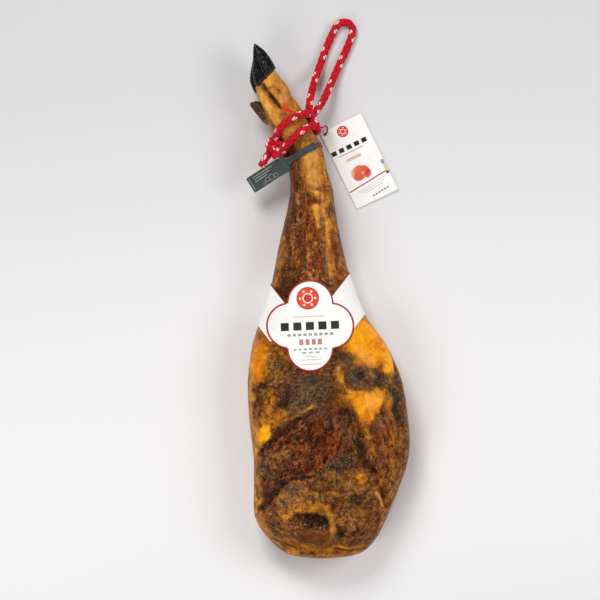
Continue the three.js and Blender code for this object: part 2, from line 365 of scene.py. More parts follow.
class Recipe:
    """One material's nodes, joined up by short calls."""

    mix_first, mix_second, mix_result = 6, 7, 2  # the colour sockets of a mixing node

    def __init__(self, name: str, **settings: float | Colour) -> None:
        """Starts the material with its shader; settings are sockets with one value all over."""
        self.material = bpy.data.materials.new(name)
        self.material.use_nodes = True
        self.tree = self.material.node_tree
        self.tree.nodes.clear()
        self.shader = self.add("ShaderNodeBsdfPrincipled")
        output = self.add("ShaderNodeOutputMaterial")
        self.tree.links.new(self.shader.outputs["BSDF"], output.inputs["Surface"])
        for key, value in settings.items():
            socket = self.shader.inputs[key.replace("_", " ")]
            socket.default_value = (*value, 1.0) if isinstance(value, tuple) else value

    def add(self, kind: str, **options: object) -> bpy.types.Node:
        """A node of the given kind with its options set."""
        node = self.tree.nodes.new(kind)
        for key, value in options.items():
            setattr(node, key, value)
        return node

    def feed(self, socket: Socket, value: object) -> None:
        """Joins an output to a socket, or sets the socket to a value."""
        if isinstance(value, Socket):
            self.tree.links.new(value, socket)
        elif isinstance(value, tuple) and len(value) == 3 and socket.type == "RGBA":
            socket.default_value = (*value, 1.0)
        else:
            socket.default_value = value

    def place(self) -> Socket:
        """The piece's own coordinates, in metres."""
        return self.add("ShaderNodeTexCoord").outputs["Object"]

    def uv(self) -> Socket:
        """The piece's UV map."""
        return self.add("ShaderNodeTexCoord").outputs["UV"]

    def attribute(self, name: str, output: str = "Fac") -> Socket:
        """A value painted on the vertices."""
        return self.add("ShaderNodeAttribute", attribute_name=name).outputs[output]

    def mapped(self, vector: Socket, scale: Sequence[float] = (1, 1, 1),
               turn: Sequence[float] = (0, 0, 0), centre: Sequence[float] = (0, 0, 0),
               kind: str = "POINT") -> Socket:
        """Coordinates scaled, turned and moved."""
        node = self.add("ShaderNodeMapping", vector_type=kind)
        self.feed(node.inputs["Vector"], vector)
        for key, value in (("Scale", scale), ("Rotation", turn), ("Location", centre)):
            node.inputs[key].default_value = value
        return node.outputs["Vector"]

    def noise(self, vector: Socket, scale: float, detail: float = 3.0,
              rough: float = 0.55, twist: float = 0.0) -> Socket:
        """Cloudy noise from 0 to 1; scale is lumps to the metre."""
        node = self.add("ShaderNodeTexNoise")
        self.feed(node.inputs["Vector"], vector)
        for key, value in (("Scale", scale), ("Detail", detail), ("Roughness", rough),
                           ("Distortion", twist)):
            node.inputs[key].default_value = value
        return node.outputs["Fac"]

    def spots(self, vector: Socket, scale: float) -> Socket:
        """The distance from the nearest of many scattered points."""
        node = self.add("ShaderNodeTexVoronoi")
        self.feed(node.inputs["Vector"], vector)
        node.inputs["Scale"].default_value = scale
        return node.outputs["Distance"]

    def ramp(self, value: Socket, low: float, high: float,
             start: float = 0.0, end: float = 1.0) -> Socket:
        """Start at low, end at high, smooth between them and held outside them."""
        node = self.add("ShaderNodeMapRange", interpolation_type="SMOOTHSTEP")
        for key, given in (("Value", value), ("From Min", low), ("From Max", high),
                           ("To Min", start), ("To Max", end)):
            self.feed(node.inputs[key], given)
        return node.outputs["Result"]

    def plus(self, *values: object) -> Socket:
        """Two numbers added."""
        return self.sum("ADD", *values)

    def times(self, *values: object) -> Socket:
        """Two numbers multiplied."""
        return self.sum("MULTIPLY", *values)

    def sum(self, operation: str, *values: object) -> Socket:
        """Arithmetic on numbers."""
        node = self.add("ShaderNodeMath", operation=operation)
        for socket, value in zip(node.inputs, values):
            self.feed(socket, value)
        return node.outputs["Value"]

    def mix(self, share: object, first: object, second: object,
            blend: str = "MIX") -> Socket:
        """Two colours mixed by a share."""
        node = self.add("ShaderNodeMix", data_type="RGBA", blend_type=blend)
        self.feed(node.inputs["Factor"], share)
        self.feed(node.inputs[self.mix_first], first)
        self.feed(node.inputs[self.mix_second], second)
        return node.outputs[self.mix_result]

    def dress(self, colour: object = None, rough: object = None, height: object = None,
              depth: float = 0.3, strength: float = 1.0) -> Material:
        """Feeds the shader and gives the material back.

        Args:
            colour: what goes to the base colour.
            rough: what goes to the roughness.
            height: the relief, from 0 to 1.
            depth: the relief's depth in millimetres.
            strength: how much of the relief shows.

        Returns:
            The material.
        """
        for key, value in (("Base Color", colour), ("Roughness", rough)):
            if value is not None:
                self.feed(self.shader.inputs[key], value)
        if height is not None:
            bump = self.add("ShaderNodeBump")
            bump.inputs["Strength"].default_value = strength
            bump.inputs["Distance"].default_value = depth * MM
            self.feed(bump.inputs["Height"], height)
            self.feed(self.shader.inputs["Normal"], bump.outputs["Normal"])
        return self.material


# ---- the leg's looks


@dataclass(frozen=True)
class Tone:
    """One kind of surface on the ham: two colours, how they mix, and what the shader adds.

    light and dark are mixed by noise with lumps of size millimetres, drawn out along the fibres
    by stretch. fibre, mould and fat say how much of each fine pattern the shader lays on.
    """

    light: Colour
    dark: Colour
    size: float = 9.0
    stretch: float = 1.0
    fibre: float = 0.0
    mould: float = 0.0
    fat: float = 0.0
    hard: float = 0.22


class Flesh(Enum):
    """The kinds of surface that the ham shows, with the painted shade of its folds and hollows and
    some painted highlights among them.
    """

    SKIN = Tone(shade(200, 152, 88), shade(162, 110, 54), 12, fat=0.95)
    RIND = Tone(shade(186, 126, 54), shade(136, 80, 28), 12, 2.0, fibre=0.1, fat=0.7)
    STRIP = Tone(shade(190, 134, 60), shade(150, 98, 38), 16, 5.0, fat=0.7)
    SHANK = Tone(shade(160, 92, 30), shade(84, 38, 12), 4.2, 6.0, fibre=0.8)
    AMBER = Tone(shade(206, 142, 48), shade(146, 84, 22), 6, 5.0, fibre=0.4, fat=0.4)
    # A pale tone: the soft dewclaw's skin, and painted highlights on the shank and rump.
    PALE_AND_HIGHLIGHT = Tone(shade(230, 176, 92), shade(198, 136, 58), 6, 3.0, fat=0.9)
    # A dark brown of the shank, used also as painted shade in the foot's creases.
    UMBER_AND_SHADE = Tone(shade(112, 62, 24), shade(54, 26, 10), 4.5, 6.0, fibre=0.7)
    RUST = Tone(shade(128, 54, 20), shade(66, 23, 10), 5, 5.0, fibre=0.8)
    SPECKS = Tone(shade(196, 142, 86), shade(104, 46, 18), 3.4, 1.6, fibre=0.6, hard=0.1)
    FAT = Tone(shade(242, 166, 14), shade(208, 122, 6), 13, fat=1.0)
    BRIGHT = Tone(shade(250, 186, 26), shade(234, 154, 10), 12, fat=1.0)
    OCHRE = Tone(shade(192, 124, 26), shade(108, 58, 14), 6, fat=0.3)
    OLIVE = Tone(shade(146, 98, 40), shade(62, 36, 14), 5, mould=0.3, fibre=0.2, hard=0.16)
    BROWN = Tone(shade(124, 66, 22), shade(70, 32, 10), 6, 1.6, fibre=0.5)
    SMOOTH = Tone(shade(112, 64, 30), shade(84, 44, 20), 14, 2.0, fibre=0.1, fat=0.5)
    FLANK = Tone(shade(178, 112, 38), shade(92, 44, 16), 4.2, 5.0, fibre=0.8)
    MEAT = Tone(shade(128, 60, 28), shade(46, 15, 9), 4.0, 4.5, fibre=1.0, hard=0.13)
    # The meat's darkest colour, used also as painted shade along folds and in hollows.
    DEEP_AND_SHADE = Tone(shade(76, 34, 12), shade(36, 14, 6), 4.5, 3.0, fibre=0.8)
    # Painted shade, for the sunk hollows, holes and creases.
    HOLLOW_SHADE = Tone(shade(58, 28, 13), shade(28, 13, 7), 5, 2.5, fibre=0.1)
    MOULD = Tone(shade(104, 76, 58), shade(40, 22, 14), 4.5, 1.2, mould=1.0, fibre=0.3, hard=0.2)
    LOBE = Tone(shade(162, 108, 54), shade(84, 44, 18), 4.2, 1.8, fibre=0.6, mould=0.2, hard=0.14)
    PLATE = Tone(shade(128, 82, 58), shade(80, 44, 30), 8, 1.5, fibre=0.2, fat=0.3)
    BLACK = Tone(shade(52, 50, 38), shade(24, 22, 18), 5, 3.0, fibre=0.3)
    GOLD = Tone(shade(214, 152, 50), shade(160, 98, 26), 5, 2.0, fat=0.5)
    INK = Tone(shade(206, 40, 26), shade(186, 26, 20), 8, fat=0.8)


@dataclass(frozen=True)
class Patch:
    """A soft-edged area: its middle, half sizes and turn in millimetres and radians, and how far
    it stands up. edge is how much of its size the edge fades over."""

    flesh: Flesh
    x: float
    y: float
    wide: float
    high: float
    turn: float = 0.0
    rise: float = 0.0
    share: float = 1.0
    edge: float = 0.45

    def cover(self, x: Array, y: Array) -> Array:
        """How much of it lies at each point."""
        c, s = math.cos(self.turn), math.sin(self.turn)
        across = ((x - self.x) * c + (y - self.y) * s) / self.wide
        up = ((y - self.y) * c - (x - self.x) * s) / self.high
        return smoothstep(1 + self.edge, 1 - self.edge, np.hypot(across, up))


@dataclass(frozen=True)
class Stroke:
    """A line drawn on the surface: its points, its width at both ends, and how far it stands up
    or, below zero, is sunk. A broken line fades in and out."""

    flesh: Flesh
    points: tuple[Pair, ...]
    width: float
    end: float = 0.0
    rise: float = 0.0
    share: float = 1.0
    broken: float = 0.0

    def cover(self, x: Array, y: Array) -> Array:
        """How much of it lies at each point."""
        best = np.zeros(len(x))
        last = len(self.points) - 1
        end = self.end or self.width
        for i, ((ax, ay), (bx, by)) in enumerate(itertools.pairwise(self.points)):
            dx, dy = bx - ax, by - ay
            share = np.clip(((x - ax) * dx + (y - ay) * dy) / (dx * dx + dy * dy), 0, 1)
            gap = np.hypot(x - ax - share * dx, y - ay - share * dy)
            width = self.width + (end - self.width) * (i + share) / last
            best = np.maximum(best, smoothstep(1.3, 0.35, gap / width))
        return best


F = Flesh  # short, for the long lists of marks
RUMP_MARKS: tuple[Patch | Stroke, ...] = (
    Patch(F.BROWN, 0, -200, 150, 190, edge=0.12),
    Patch(F.FLANK, 98, -262, 34, 112, 0.08),
    Patch(F.FLANK, 74, -225, 26, 60, 0.12, share=0.8),
    Patch(F.RUST, 82, -205, 16, 40, 0.15, share=0.45),
    Stroke(F.STRIP, ((-122, -60), (-126, -150), (-125, -230), (-120, -290)), 9, 7),
    Stroke(F.GOLD, ((-116, -196), (-114, -260), (-109, -345), (-88, -378)), 8, 8, broken=0.6),
    Stroke(F.OCHRE, ((-88, -378), (-60, -398), (-10, -408), (40, -404)), 14, 8, broken=0.3),
    Patch(F.FAT, -106, -96, 17, 32, -0.12, rise=1.0),
    Patch(F.OCHRE, -88, -80, 14, 20, share=0.8),
    Patch(F.OLIVE, -76, -106, 24, 26),
    Patch(F.OCHRE, -66, -92, 18, 8, -0.6, share=0.6),
    Patch(F.OLIVE, -98, -140, 20, 12, share=0.8),
    Patch(F.BROWN, -36, -116, 34, 10, 0.1, share=0.9),
    Stroke(F.DEEP_AND_SHADE, ((-104, -134), (-88, -139), (-74, -137)), 6, 4, rise=-1.5, broken=0.4),
    # The big muscle in the middle, its fibres running down to the left.
    Patch(F.MEAT, -20, -232, 76, 54, 0.55, rise=2.5),
    Patch(F.MEAT, -62, -256, 50, 36, 0.75, rise=1.0),
    Patch(F.MEAT, 8, -205, 36, 42, -0.2),
    Patch(F.SPECKS, -58, -238, 34, 7, 0.75, share=0.5),
    Patch(F.SPECKS, -84, -262, 14, 22, -0.5, share=0.55),
    Patch(F.RUST, -26, -236, 34, 6, 0.7, share=0.6),
    Patch(F.RUST, 4, -222, 30, 6, 0.85, share=0.6),
    Patch(F.RUST, -32, -262, 34, 5, 0.6, share=0.6),
    Patch(F.RUST, -6, -196, 18, 9, 0.5, share=0.5),
    Patch(F.DEEP_AND_SHADE, -80, -272, 34, 9, 0.8, share=0.75),
    Patch(F.DEEP_AND_SHADE, -44, -214, 30, 5, 0.6, share=0.5),
    Patch(F.DEEP_AND_SHADE, -18, -246, 26, 5, 0.7, share=0.45),
    # A hollow, sunk, with painted shade in it over the meat's darker colour.
    Patch(F.BROWN, -2, -156, 22, 44, share=0.9, rise=-2.0),
    Patch(F.DEEP_AND_SHADE, 2, -162, 14, 34, share=0.8, rise=-2.0),
    Patch(F.HOLLOW_SHADE, 10, -178, 12, 12, share=0.7, rise=-1.0),
    Patch(F.MOULD, -38, -150, 38, 32, rise=2.0, edge=0.6),
    Patch(F.MOULD, -16, -134, 24, 16, share=0.8, edge=0.6),
    Patch(F.BLACK, -20, -128, 16, 8, share=0.5),
    Patch(F.DEEP_AND_SHADE, -62, -146, 10, 12, share=0.5),
    Patch(F.OCHRE, -89, -158, 11, 18),
    Patch(F.DEEP_AND_SHADE, -72, -167, 9, 18, -0.2, rise=-1.5, share=0.85),
    Patch(F.BRIGHT, -100, -212, 9, 24, -0.25, rise=1.5),
    Patch(F.OCHRE, -90, -188, 20, 12, share=0.9),
    Patch(F.GOLD, -74, -180, 12, 6, 0.3, share=0.6),
    Patch(F.OLIVE, -96, -262, 16, 32, 0.2, share=0.6),
    Stroke(F.GOLD, ((-26, -170), (-42, -180), (-60, -188), (-82, -199)), 5.5, 4, rise=2.5,
           broken=0.5, share=0.9),
    # Painted shade along the fold under the ridge, over the meat's darker colour; the fold is sunk as
    # well.
    Stroke(F.DEEP_AND_SHADE, ((-24, -180), (-46, -189), (-64, -198), (-76, -206), (-82, -217),
                    (-102, -232), (-108, -243)), 7.5, 6.5, rise=-3.0, broken=0.3),
    Stroke(F.HOLLOW_SHADE, ((-44, -190), (-64, -200), (-76, -208), (-84, -219), (-104, -235)), 4, 3.5,
           rise=-2.0, share=0.9, broken=0.9),
    # Fat at the right, with its bright rim, and what lies on it.
    Patch(F.FAT, 68, -62, 42, 44, -0.25, rise=2.0, edge=0.35),
    Patch(F.BRIGHT, 98, -102, 8, 26, 0.2, rise=0.5),
    Patch(F.BRIGHT, 56, -66, 22, 24, share=0.35),
    Patch(F.OLIVE, 10, -102, 30, 18, 0.2),
    Patch(F.BLACK, 24, -86, 14, 10, 0.2, share=0.7),
    Patch(F.MOULD, 30, -92, 16, 11, 0.2, share=0.6),
    Patch(F.OCHRE, 22, -122, 12, 26, share=0.6),
    Patch(F.OLIVE, 56, -122, 36, 20),
    Patch(F.MOULD, 44, -121, 17, 15, rise=1.0, edge=0.5),
    # A hole, sunk, with its shade painted in.
    Patch(F.HOLLOW_SHADE, 52, -120, 7, 6, rise=-1.5),
    Stroke(F.GOLD, ((18, -106), (20, -124), (30, -138), (44, -147), (58, -144)), 4.5, 4, rise=1.5,
           broken=0.6),
    Stroke(F.RUST, ((27, -110), (27, -124), (36, -136)), 3, 3, share=0.7),
    Patch(F.DEEP_AND_SHADE, 86, -128, 12, 14, -0.2, rise=-1.0),
    Patch(F.BLACK, 84, -126, 6, 6, share=0.7),
    Patch(F.DEEP_AND_SHADE, 63, -135, 6, 10, share=0.7),
    Patch(F.OLIVE, 104, -132, 13, 22, share=0.85),
    Patch(F.FAT, 56, -161, 42, 17, 0.08, rise=2.5),
    Patch(F.BRIGHT, 52, -160, 24, 9, rise=0.5, share=0.5),
    Patch(F.BRIGHT, 80, -152, 16, 10, 0.3, share=0.35),
    Patch(F.FAT, 60, -184, 14, 18, rise=1.0, share=0.9),
    Patch(F.OCHRE, 60, -208, 13, 18, share=0.8),
    Stroke(F.RUST, ((92, -150), (86, -176), (78, -206)), 4.5, 4, share=0.8, broken=0.4),
    Stroke(F.RUST, ((74, -196), (80, -226), (90, -262)), 8, 5, share=0.7, broken=0.5),
    Stroke(F.PLATE, ((72, -206), (80, -240), (94, -276)), 5, 4, share=0.6, broken=0.8),
    Stroke(F.BLACK, ((107, -146), (110, -170), (117, -198)), 8, 5, rise=-1.5, broken=0.3),
    # The dark hollow that runs down beside the muscle: sunk, with painted shade in it over the meat's
    # darker colour.
    Stroke(F.BROWN, ((22, -172), (38, -204), (48, -228), (58, -252), (70, -274)), 24, 12,
           rise=-1.5, share=0.85),
    Stroke(F.DEEP_AND_SHADE, ((24, -180), (40, -206), (50, -228), (60, -251), (70, -270)), 14, 8, rise=-2.0,
           share=0.85, broken=0.35),
    Stroke(F.HOLLOW_SHADE, ((46, -214), (52, -228), (60, -251), (70, -269), (77, -282), (85, -303),
                      (92, -326)), 8, 3.2, rise=-3.5, share=0.85, broken=0.25),
    Patch(F.OCHRE, 40, -206, 7, 18, 0.2, share=0.25),
    Patch(F.MOULD, 29, -256, 19, 13, 0.1, edge=0.6),
    Patch(F.MOULD, 12, -266, 16, 8, share=0.7, edge=0.6),
    # A hole, sunk, with its shade painted in.
    Patch(F.HOLLOW_SHADE, 41, -264, 7, 7, rise=-3.0),
    # The lower lobe, below its long fold.
    Patch(F.LOBE, -12, -330, 82, 56, 0.05, rise=2.0, edge=0.25),
    Patch(F.LOBE, 52, -300, 26, 34, share=0.9),
    Patch(F.OLIVE, 24, -296, 40, 24, 0.1, share=0.8),
    Patch(F.OLIVE, -66, -308, 20, 14, 0.6, share=0.5),
    # Painted shade along the long fold, which is sunk as well.
    Stroke(F.DEEP_AND_SHADE, ((-104, -331), (-84, -307), (-66, -287), (-44, -282), (-15, -274)), 7, 3,
           rise=-2.5, broken=0.35),
    Stroke(F.HOLLOW_SHADE, ((-104, -331), (-86, -310), (-68, -290), (-52, -282)), 4, 3, rise=-2.0,
           share=0.8, broken=0.7),
    Stroke(F.DEEP_AND_SHADE, ((-44, -282), (-15, -274), (12, -266), (34, -263)), 3.5, 3, rise=-2.0,
           share=0.55, broken=0.6),
    Stroke(F.DEEP_AND_SHADE, ((-96, -300), (-70, -276), (-44, -270)), 9, 6, share=0.6, broken=0.3),
    Patch(F.OCHRE, 52, -283, 8, 16, rise=0.8),
    Patch(F.BRIGHT, 52, -280, 3.5, 8, share=0.4),
    Patch(F.OLIVE, 44, -315, 20, 16),
    Patch(F.BLACK, 46, -312, 12, 8, share=0.6),
    Patch(F.RUST, 22, -330, 20, 12, share=0.5),
    # A painted highlight.
    Stroke(F.PALE_AND_HIGHLIGHT, ((76, -306), (82, -314), (88, -326)), 2.6, 2.6, rise=0.8, share=0.8),
    Stroke(F.FLANK, ((98, -330), (84, -360), (62, -386)), 14, 9),
    Stroke(F.OCHRE, ((-72, -352), (-58, -339), (-36, -330), (-12, -326), (0, -330)), 10, 6,
           rise=2.0),
    Stroke(F.GOLD, ((-62, -346), (-52, -338)), 7, 6, share=0.7, broken=0.3),
    Stroke(F.GOLD, ((-28, -330), (-12, -327), (-2, -331)), 4, 4, share=0.8, broken=0.3),
    Patch(F.OLIVE, -40, -340, 12, 6, share=0.6),
    # The cavity under the lobe: sunk, with painted shade in it.
    Patch(F.DEEP_AND_SHADE, -22, -350, 24, 13, -0.2, rise=-3.0, edge=0.3),
    Patch(F.HOLLOW_SHADE, -20, -346, 16, 7, -0.2, rise=-3.0, edge=0.3),
    Patch(F.HOLLOW_SHADE, -6, -352, 8, 14, 0.1, rise=-2.0, edge=0.3),
    Patch(F.SMOOTH, -22, -373, 30, 12, 0.1, rise=1.5),
    Stroke(F.GOLD, ((2, -338), (7, -354), (11, -370)), 6.5, 5, rise=1.8, share=0.8, broken=0.3),
    Patch(F.BLACK, 22, -374, 7, 9, rise=-2.0),
    Patch(F.PLATE, 54, -376, 22, 14, 0.35, rise=1.0, share=0.9),
    Patch(F.OLIVE, -78, -360, 24, 15, -0.7, share=0.8),
    Patch(F.OCHRE, -48, -394, 28, 11, -0.25),
    Patch(F.FAT, -56, -402, 10, 5, -0.3, share=0.5),
    Stroke(F.GOLD, ((10, -390), (34, -393), (62, -391)), 3.5, 3, rise=1.2, broken=0.4),
    # A sunk groove with painted shade in it.
    Stroke(F.HOLLOW_SHADE, ((12, -396), (36, -399), (62, -396)), 3.0, 2.6, rise=-2.5, broken=0.3),
    # A small hole, sunk, with its shade painted in.
    Patch(F.HOLLOW_SHADE, -100, -281, 5, 7, rise=-2.5),
    Patch(F.SPECKS, -108, -279, 5, 7, share=0.9),
)
SHANK_MARKS: tuple[Patch | Stroke, ...] = (
    Stroke(F.AMBER, ((-18, 236), (-12, 190), (-4, 140), (4, 80), (14, 20)), 19, 12),
    # A painted highlight down the shank.
    Stroke(F.PALE_AND_HIGHLIGHT, ((-26, 232), (-24, 196), (-18, 176)), 11, 7, share=0.8),
    Stroke(F.UMBER_AND_SHADE, ((-56, 240), (-54, 200), (-54, 160), (-60, 110), (-66, 70)), 14, 13),
    Stroke(F.UMBER_AND_SHADE, ((-42, 168), (-40, 130), (-42, 90), (-48, 20)), 7, 8, share=0.85),
    Stroke(F.SKIN, ((-30, 238), (-26, 208), (-22, 186)), 17, 12, share=0.8),
    # The hock's fold: painted shade, sunk a little.
    Stroke(F.HOLLOW_SHADE, ((-17, 179), (-6, 177), (7, 179)), 3.0, 2.4, rise=-1.4, share=0.55,
           broken=0.3),
    Stroke(F.RUST, ((-30, 184), (-18, 180), (2, 183)), 4, 4, share=0.5),
    Patch(F.RUST, -17, 159, 8, 5, share=0.8),
    Stroke(F.PALE_AND_HIGHLIGHT, ((-19, 150), (-16, 134), (-14, 120)), 6, 3, rise=0.8),
    Patch(F.RUST, 6, 143, 7, 12, share=0.8),
    Stroke(F.RUST, ((-8, 130), (-8, 90), (-12, 60)), 7, 7, share=0.75, broken=0.3),
    Stroke(F.RUST, ((8, 110), (14, 70), (22, 30)), 7, 9, share=0.8, broken=0.3),
    Stroke(F.AMBER, ((-2, 124), (4, 84), (8, 50)), 4, 5, share=0.8, broken=0.4),
    Stroke(F.OCHRE, ((-72, 100), (-80, 60), (-90, 24)), 8, 10, share=0.85),
    Stroke(F.SPECKS, ((-47, 170), (-46, 130)), 3.4, 3, share=0.6),
    Stroke(F.SPECKS, ((-24, 96), (-26, 70), (-28, 38)), 8, 12, share=0.75, broken=0.5),
    Stroke(F.SPECKS, ((-52, 120), (-54, 90), (-50, 60)), 5, 5, share=0.5, broken=0.4),
    Patch(F.DEEP_AND_SHADE, -58, 34, 18, 24, share=0.8),
    Patch(F.DEEP_AND_SHADE, -69, 6, 10, 18, 0.3, share=0.9),
    Patch(F.OCHRE, 26, 44, 9, 26, share=0.8),
    Patch(F.RUST, 0, 24, 40, 16, share=0.6),
    Patch(F.DEEP_AND_SHADE, 39, 47, 6, 10, share=0.95, rise=1.2),
    Patch(F.DEEP_AND_SHADE, -96, 36, 6, 10, share=0.95, rise=1.2),
    Patch(F.DEEP_AND_SHADE, 14, 8, 8, 10, -0.6, share=0.6),
)
FOOT_MARKS: tuple[Patch | Stroke, ...] = (
    Patch(F.RIND, -62, 296, 30, 18, -0.6, share=0.7),
    Patch(F.BRIGHT, -96, 352, 8, 8, share=0.3),
    Patch(F.RIND, -84, 337, 9, 8, share=0.7),
    Stroke(F.RIND, ((-62, 332), (-54, 314), (-44, 300)), 6, 6, share=0.8),
    Stroke(F.PALE_AND_HIGHLIGHT, ((-109, 340), (-101, 324), (-90, 304), (-80, 288)), 5, 9, rise=6.0, share=0.7),
    Stroke(F.OLIVE, ((-112, 344), (-108, 338)), 4, 4, share=0.6),
    # The creases round the soft dewclaw and between it and the toes: painted shade, sunk as well.
    Stroke(F.UMBER_AND_SHADE, ((-107, 349), (-99, 341), (-92, 331), (-84, 321), (-75, 310)), 4.2, 3,
           rise=-6.0, share=0.75),
    Stroke(F.HOLLOW_SHADE, ((-92, 331), (-85, 323), (-77, 315)), 2.6, 2.0, rise=-2.0, share=0.9),
    Stroke(F.UMBER_AND_SHADE, ((-93, 342), (-84, 342), (-76, 337)), 2.4, 1.8, rise=-1.0, share=0.45),
    Stroke(F.UMBER_AND_SHADE, ((-86, 347), (-76, 336), (-70, 322)), 2.0, 1.4, rise=-0.6, share=0.35),
    Stroke(F.UMBER_AND_SHADE, ((-104, 308), (-96, 292), (-86, 278)), 5, 5, rise=-1.0, share=0.6),
    Patch(F.OCHRE, -62, 292, 18, 10, -0.6, share=0.6),
    Stroke(F.INK, ((-69, 317), (-70, 311), (-67, 305)), 2.2, 2.4, share=0.95),
    Stroke(F.INK, ((-70, 310), (-63, 305), (-53, 303)), 2.4, 1.8, share=0.95),
    Stroke(F.INK, ((-65, 313), (-61, 305)), 1.7, 1.4, share=0.9),
)


@dataclass
class Leg:
    """The leg with its toes and soft dewclaw, one grown piece with its cured face up."""

    voxel: float = 1.9
    smoothing: int = 9
    seed: int = 11
    fan: Pair = (46.0, -96.0)  # where the rump's fibres run out from
    fan_radius: float = 130.0  # how far from there they have their real spacing
    collar_ends: Pair = (-60.0, 40.0)  # where the rump gives way to the shank
    shank_middle: float = -22.0
    shank_spacing: float = 1.3
    spread_from: float = 150.0  # the shank's fibres spread from here towards the rump
    spread_over: float = 190.0  # and are twice as far apart this much further on
    spread_most: float = 400.0
    rump_fade: Pair = (10.0, -30.0)  # from none of its marks to all of them
    shank_fade: Pair = (-20.0, 15.0)
    ankle_fade: Pair = (300.0, 250.0)
    foot_fade: Pair = (240.0, 285.0)
    wander: Wobble = Wobble(12, 19, 3, 400)  # how the marks stray across the leg
    drift: Wobble = Wobble(12, 19, 3, -300)  # and along it
    ragged: Wobble = Wobble(5, 6, 2, 90)
    steady: float = 0.25  # how much of that the fine marks on the shank and foot have
    least: float = 0.004  # a mark is left out where it covers less than this
    edge: Wobble = Wobble(0.25, 22)
    fibres: Wobble = Wobble(1, (6.5, 70.0, 30.0), 2)
    lumps: Wobble = Wobble(1, 26, 3, 77)
    grit: Wobble = Wobble(1, 6, 2, -55)
    mark_lift: float = 1.15
    fibre_lift: float = 2.2
    grit_lift: float = 1.6
    lump_lift: float = 1.0
    rump_lift: float = 3.4
    sunk: float = 0.25
    # Where the collar and the rope lie, from the start of the fade in to the end of the fade out.
    covered: tuple[tuple[float, float, float, float], ...] = (
        (-70.0, -40.0, 50.0, 80.0), (205.0, 225.0, 300.0, 312.0),
    )
    calm: float = 0.85  # how much smoother the surface is there

    def build(self) -> bpy.types.Object:
        """Shapes, paints and dresses the leg.

        Returns:
            The piece.
        """
        mesh = solid_copy("ham", self.voxel, self.smoothing)
        points, normals = points_of(mesh), normals_of(mesh)
        speckle = Speckle(self.seed)
        grain = self.grain(points)
        colour, kinds, rise = self.painted(points, normals, grain, speckle)
        move_points(mesh, self.sculpted(points, normals, rise, kinds, grain, speckle))
        paint_attribute(mesh, "flesh", np.column_stack([colour, np.ones(len(colour))]))
        paint_attribute(mesh, "kinds", kinds)
        paint_attribute(mesh, "grain", grain * MM)
        return add_piece("cured_leg", mesh, "cured_meat", "ham", finishes=[self.finish()])

    def grain(self, points: Array) -> Array:
        """Coordinates that follow the fibres: across them, along them, and up.

        Args:
            points: the vertices in millimetres.

        Returns:
            The same number of points, in millimetres along the fibres.
        """
        x, y = points[:, 0], points[:, 1]
        dx, dy = x - self.fan[0], y - self.fan[1]
        turn = np.arctan2(dx, -dy) * self.fan_radius
        rump = np.column_stack([turn, np.hypot(dx, dy), points[:, 2]])
        taper = 1 + np.clip(self.spread_from - y, 0, self.spread_most) / self.spread_over
        across = (x - self.shank_middle) / taper * self.shank_spacing
        shank = np.column_stack([across, y, points[:, 2]])
        share = smoothstep(*self.collar_ends, y)[:, None]
        return rump * (1 - share) + shank * share

    def painted(self, points: Array, normals: Array, grain: Array,
                speckle: Speckle) -> tuple[Array, Array, Array]:
        """Lays every mark over the skin in turn.

        Args:
            points: the vertices in millimetres.
            normals: their normals.
            grain: their places along the fibres.
            speckle: the noise.

        Returns:
            The colours, the shares of fibre, mould and fat, and the rise in millimetres.
        """
        wander, drift, ragged = (w.at(speckle, points)
                                 for w in (self.wander, self.drift, self.ragged))
        gaps = smoothstep(0.36, 0.6, speckle.layered(points + 200, 13, 3))
        x, y = points[:, 0] + wander + ragged, points[:, 1] + drift - ragged
        fine_x = points[:, 0] + self.steady * wander
        fine_y = points[:, 1] + self.steady * drift
        colour = np.tile(np.array(Flesh.RIND.value.light), (len(points), 1))
        kinds = np.zeros((len(points), 3))
        rise = np.zeros(len(points))
        up = smoothstep(-0.05, 0.5, normals[:, 2] + self.edge.at(speckle, points))
        everywhere = Patch(Flesh.RIND, 0, 0, 2000, 2000)
        along = points[:, 1]
        rump = smoothstep(*self.rump_fade, along) * up
        shank = smoothstep(*self.shank_fade, along) * smoothstep(*self.ankle_fade, along)
        foot = smoothstep(*self.foot_fade, along)
        sides = smoothstep(-0.5, 0.3, normals[:, 2])
        layers = [(everywhere, np.ones(len(points)))]
        layers += [(mark, rump) for mark in RUMP_MARKS]
        layers += [(replace(everywhere, flesh=Flesh.SHANK), shank * sides)]
        layers += [(mark, shank * up) for mark in SHANK_MARKS]
        layers += [(replace(everywhere, flesh=Flesh.SKIN), foot)]
        layers += [(mark, foot * up) for mark in FOOT_MARKS]
        for mark, where in layers:
            fine = mark in SHANK_MARKS or mark in FOOT_MARKS
            cover = mark.cover(fine_x, fine_y) if fine else mark.cover(x, y)
            cover = cover * where * mark.share
            if isinstance(mark, Stroke):
                cover *= 1 - mark.broken * (1 - gaps)
            lit = np.flatnonzero(cover > self.least)
            tone = mark.flesh.value
            lumps = (tone.size, tone.size * tone.stretch, tone.size)
            mottle = speckle.layered(grain[lit], lumps, 3)
            light = smoothstep(0.5 - tone.hard, 0.5 + tone.hard, mottle)[:, None]
            wanted = np.array(tone.dark) * (1 - light) + np.array(tone.light) * light
            share = cover[lit, None]
            colour[lit] = colour[lit] * (1 - share) + wanted * share
            kind = np.array([tone.fibre, tone.mould, tone.fat])
            kinds[lit] = kinds[lit] * (1 - share) + kind * share
            rise[lit] += mark.rise * cover[lit]
        return colour, kinds, rise

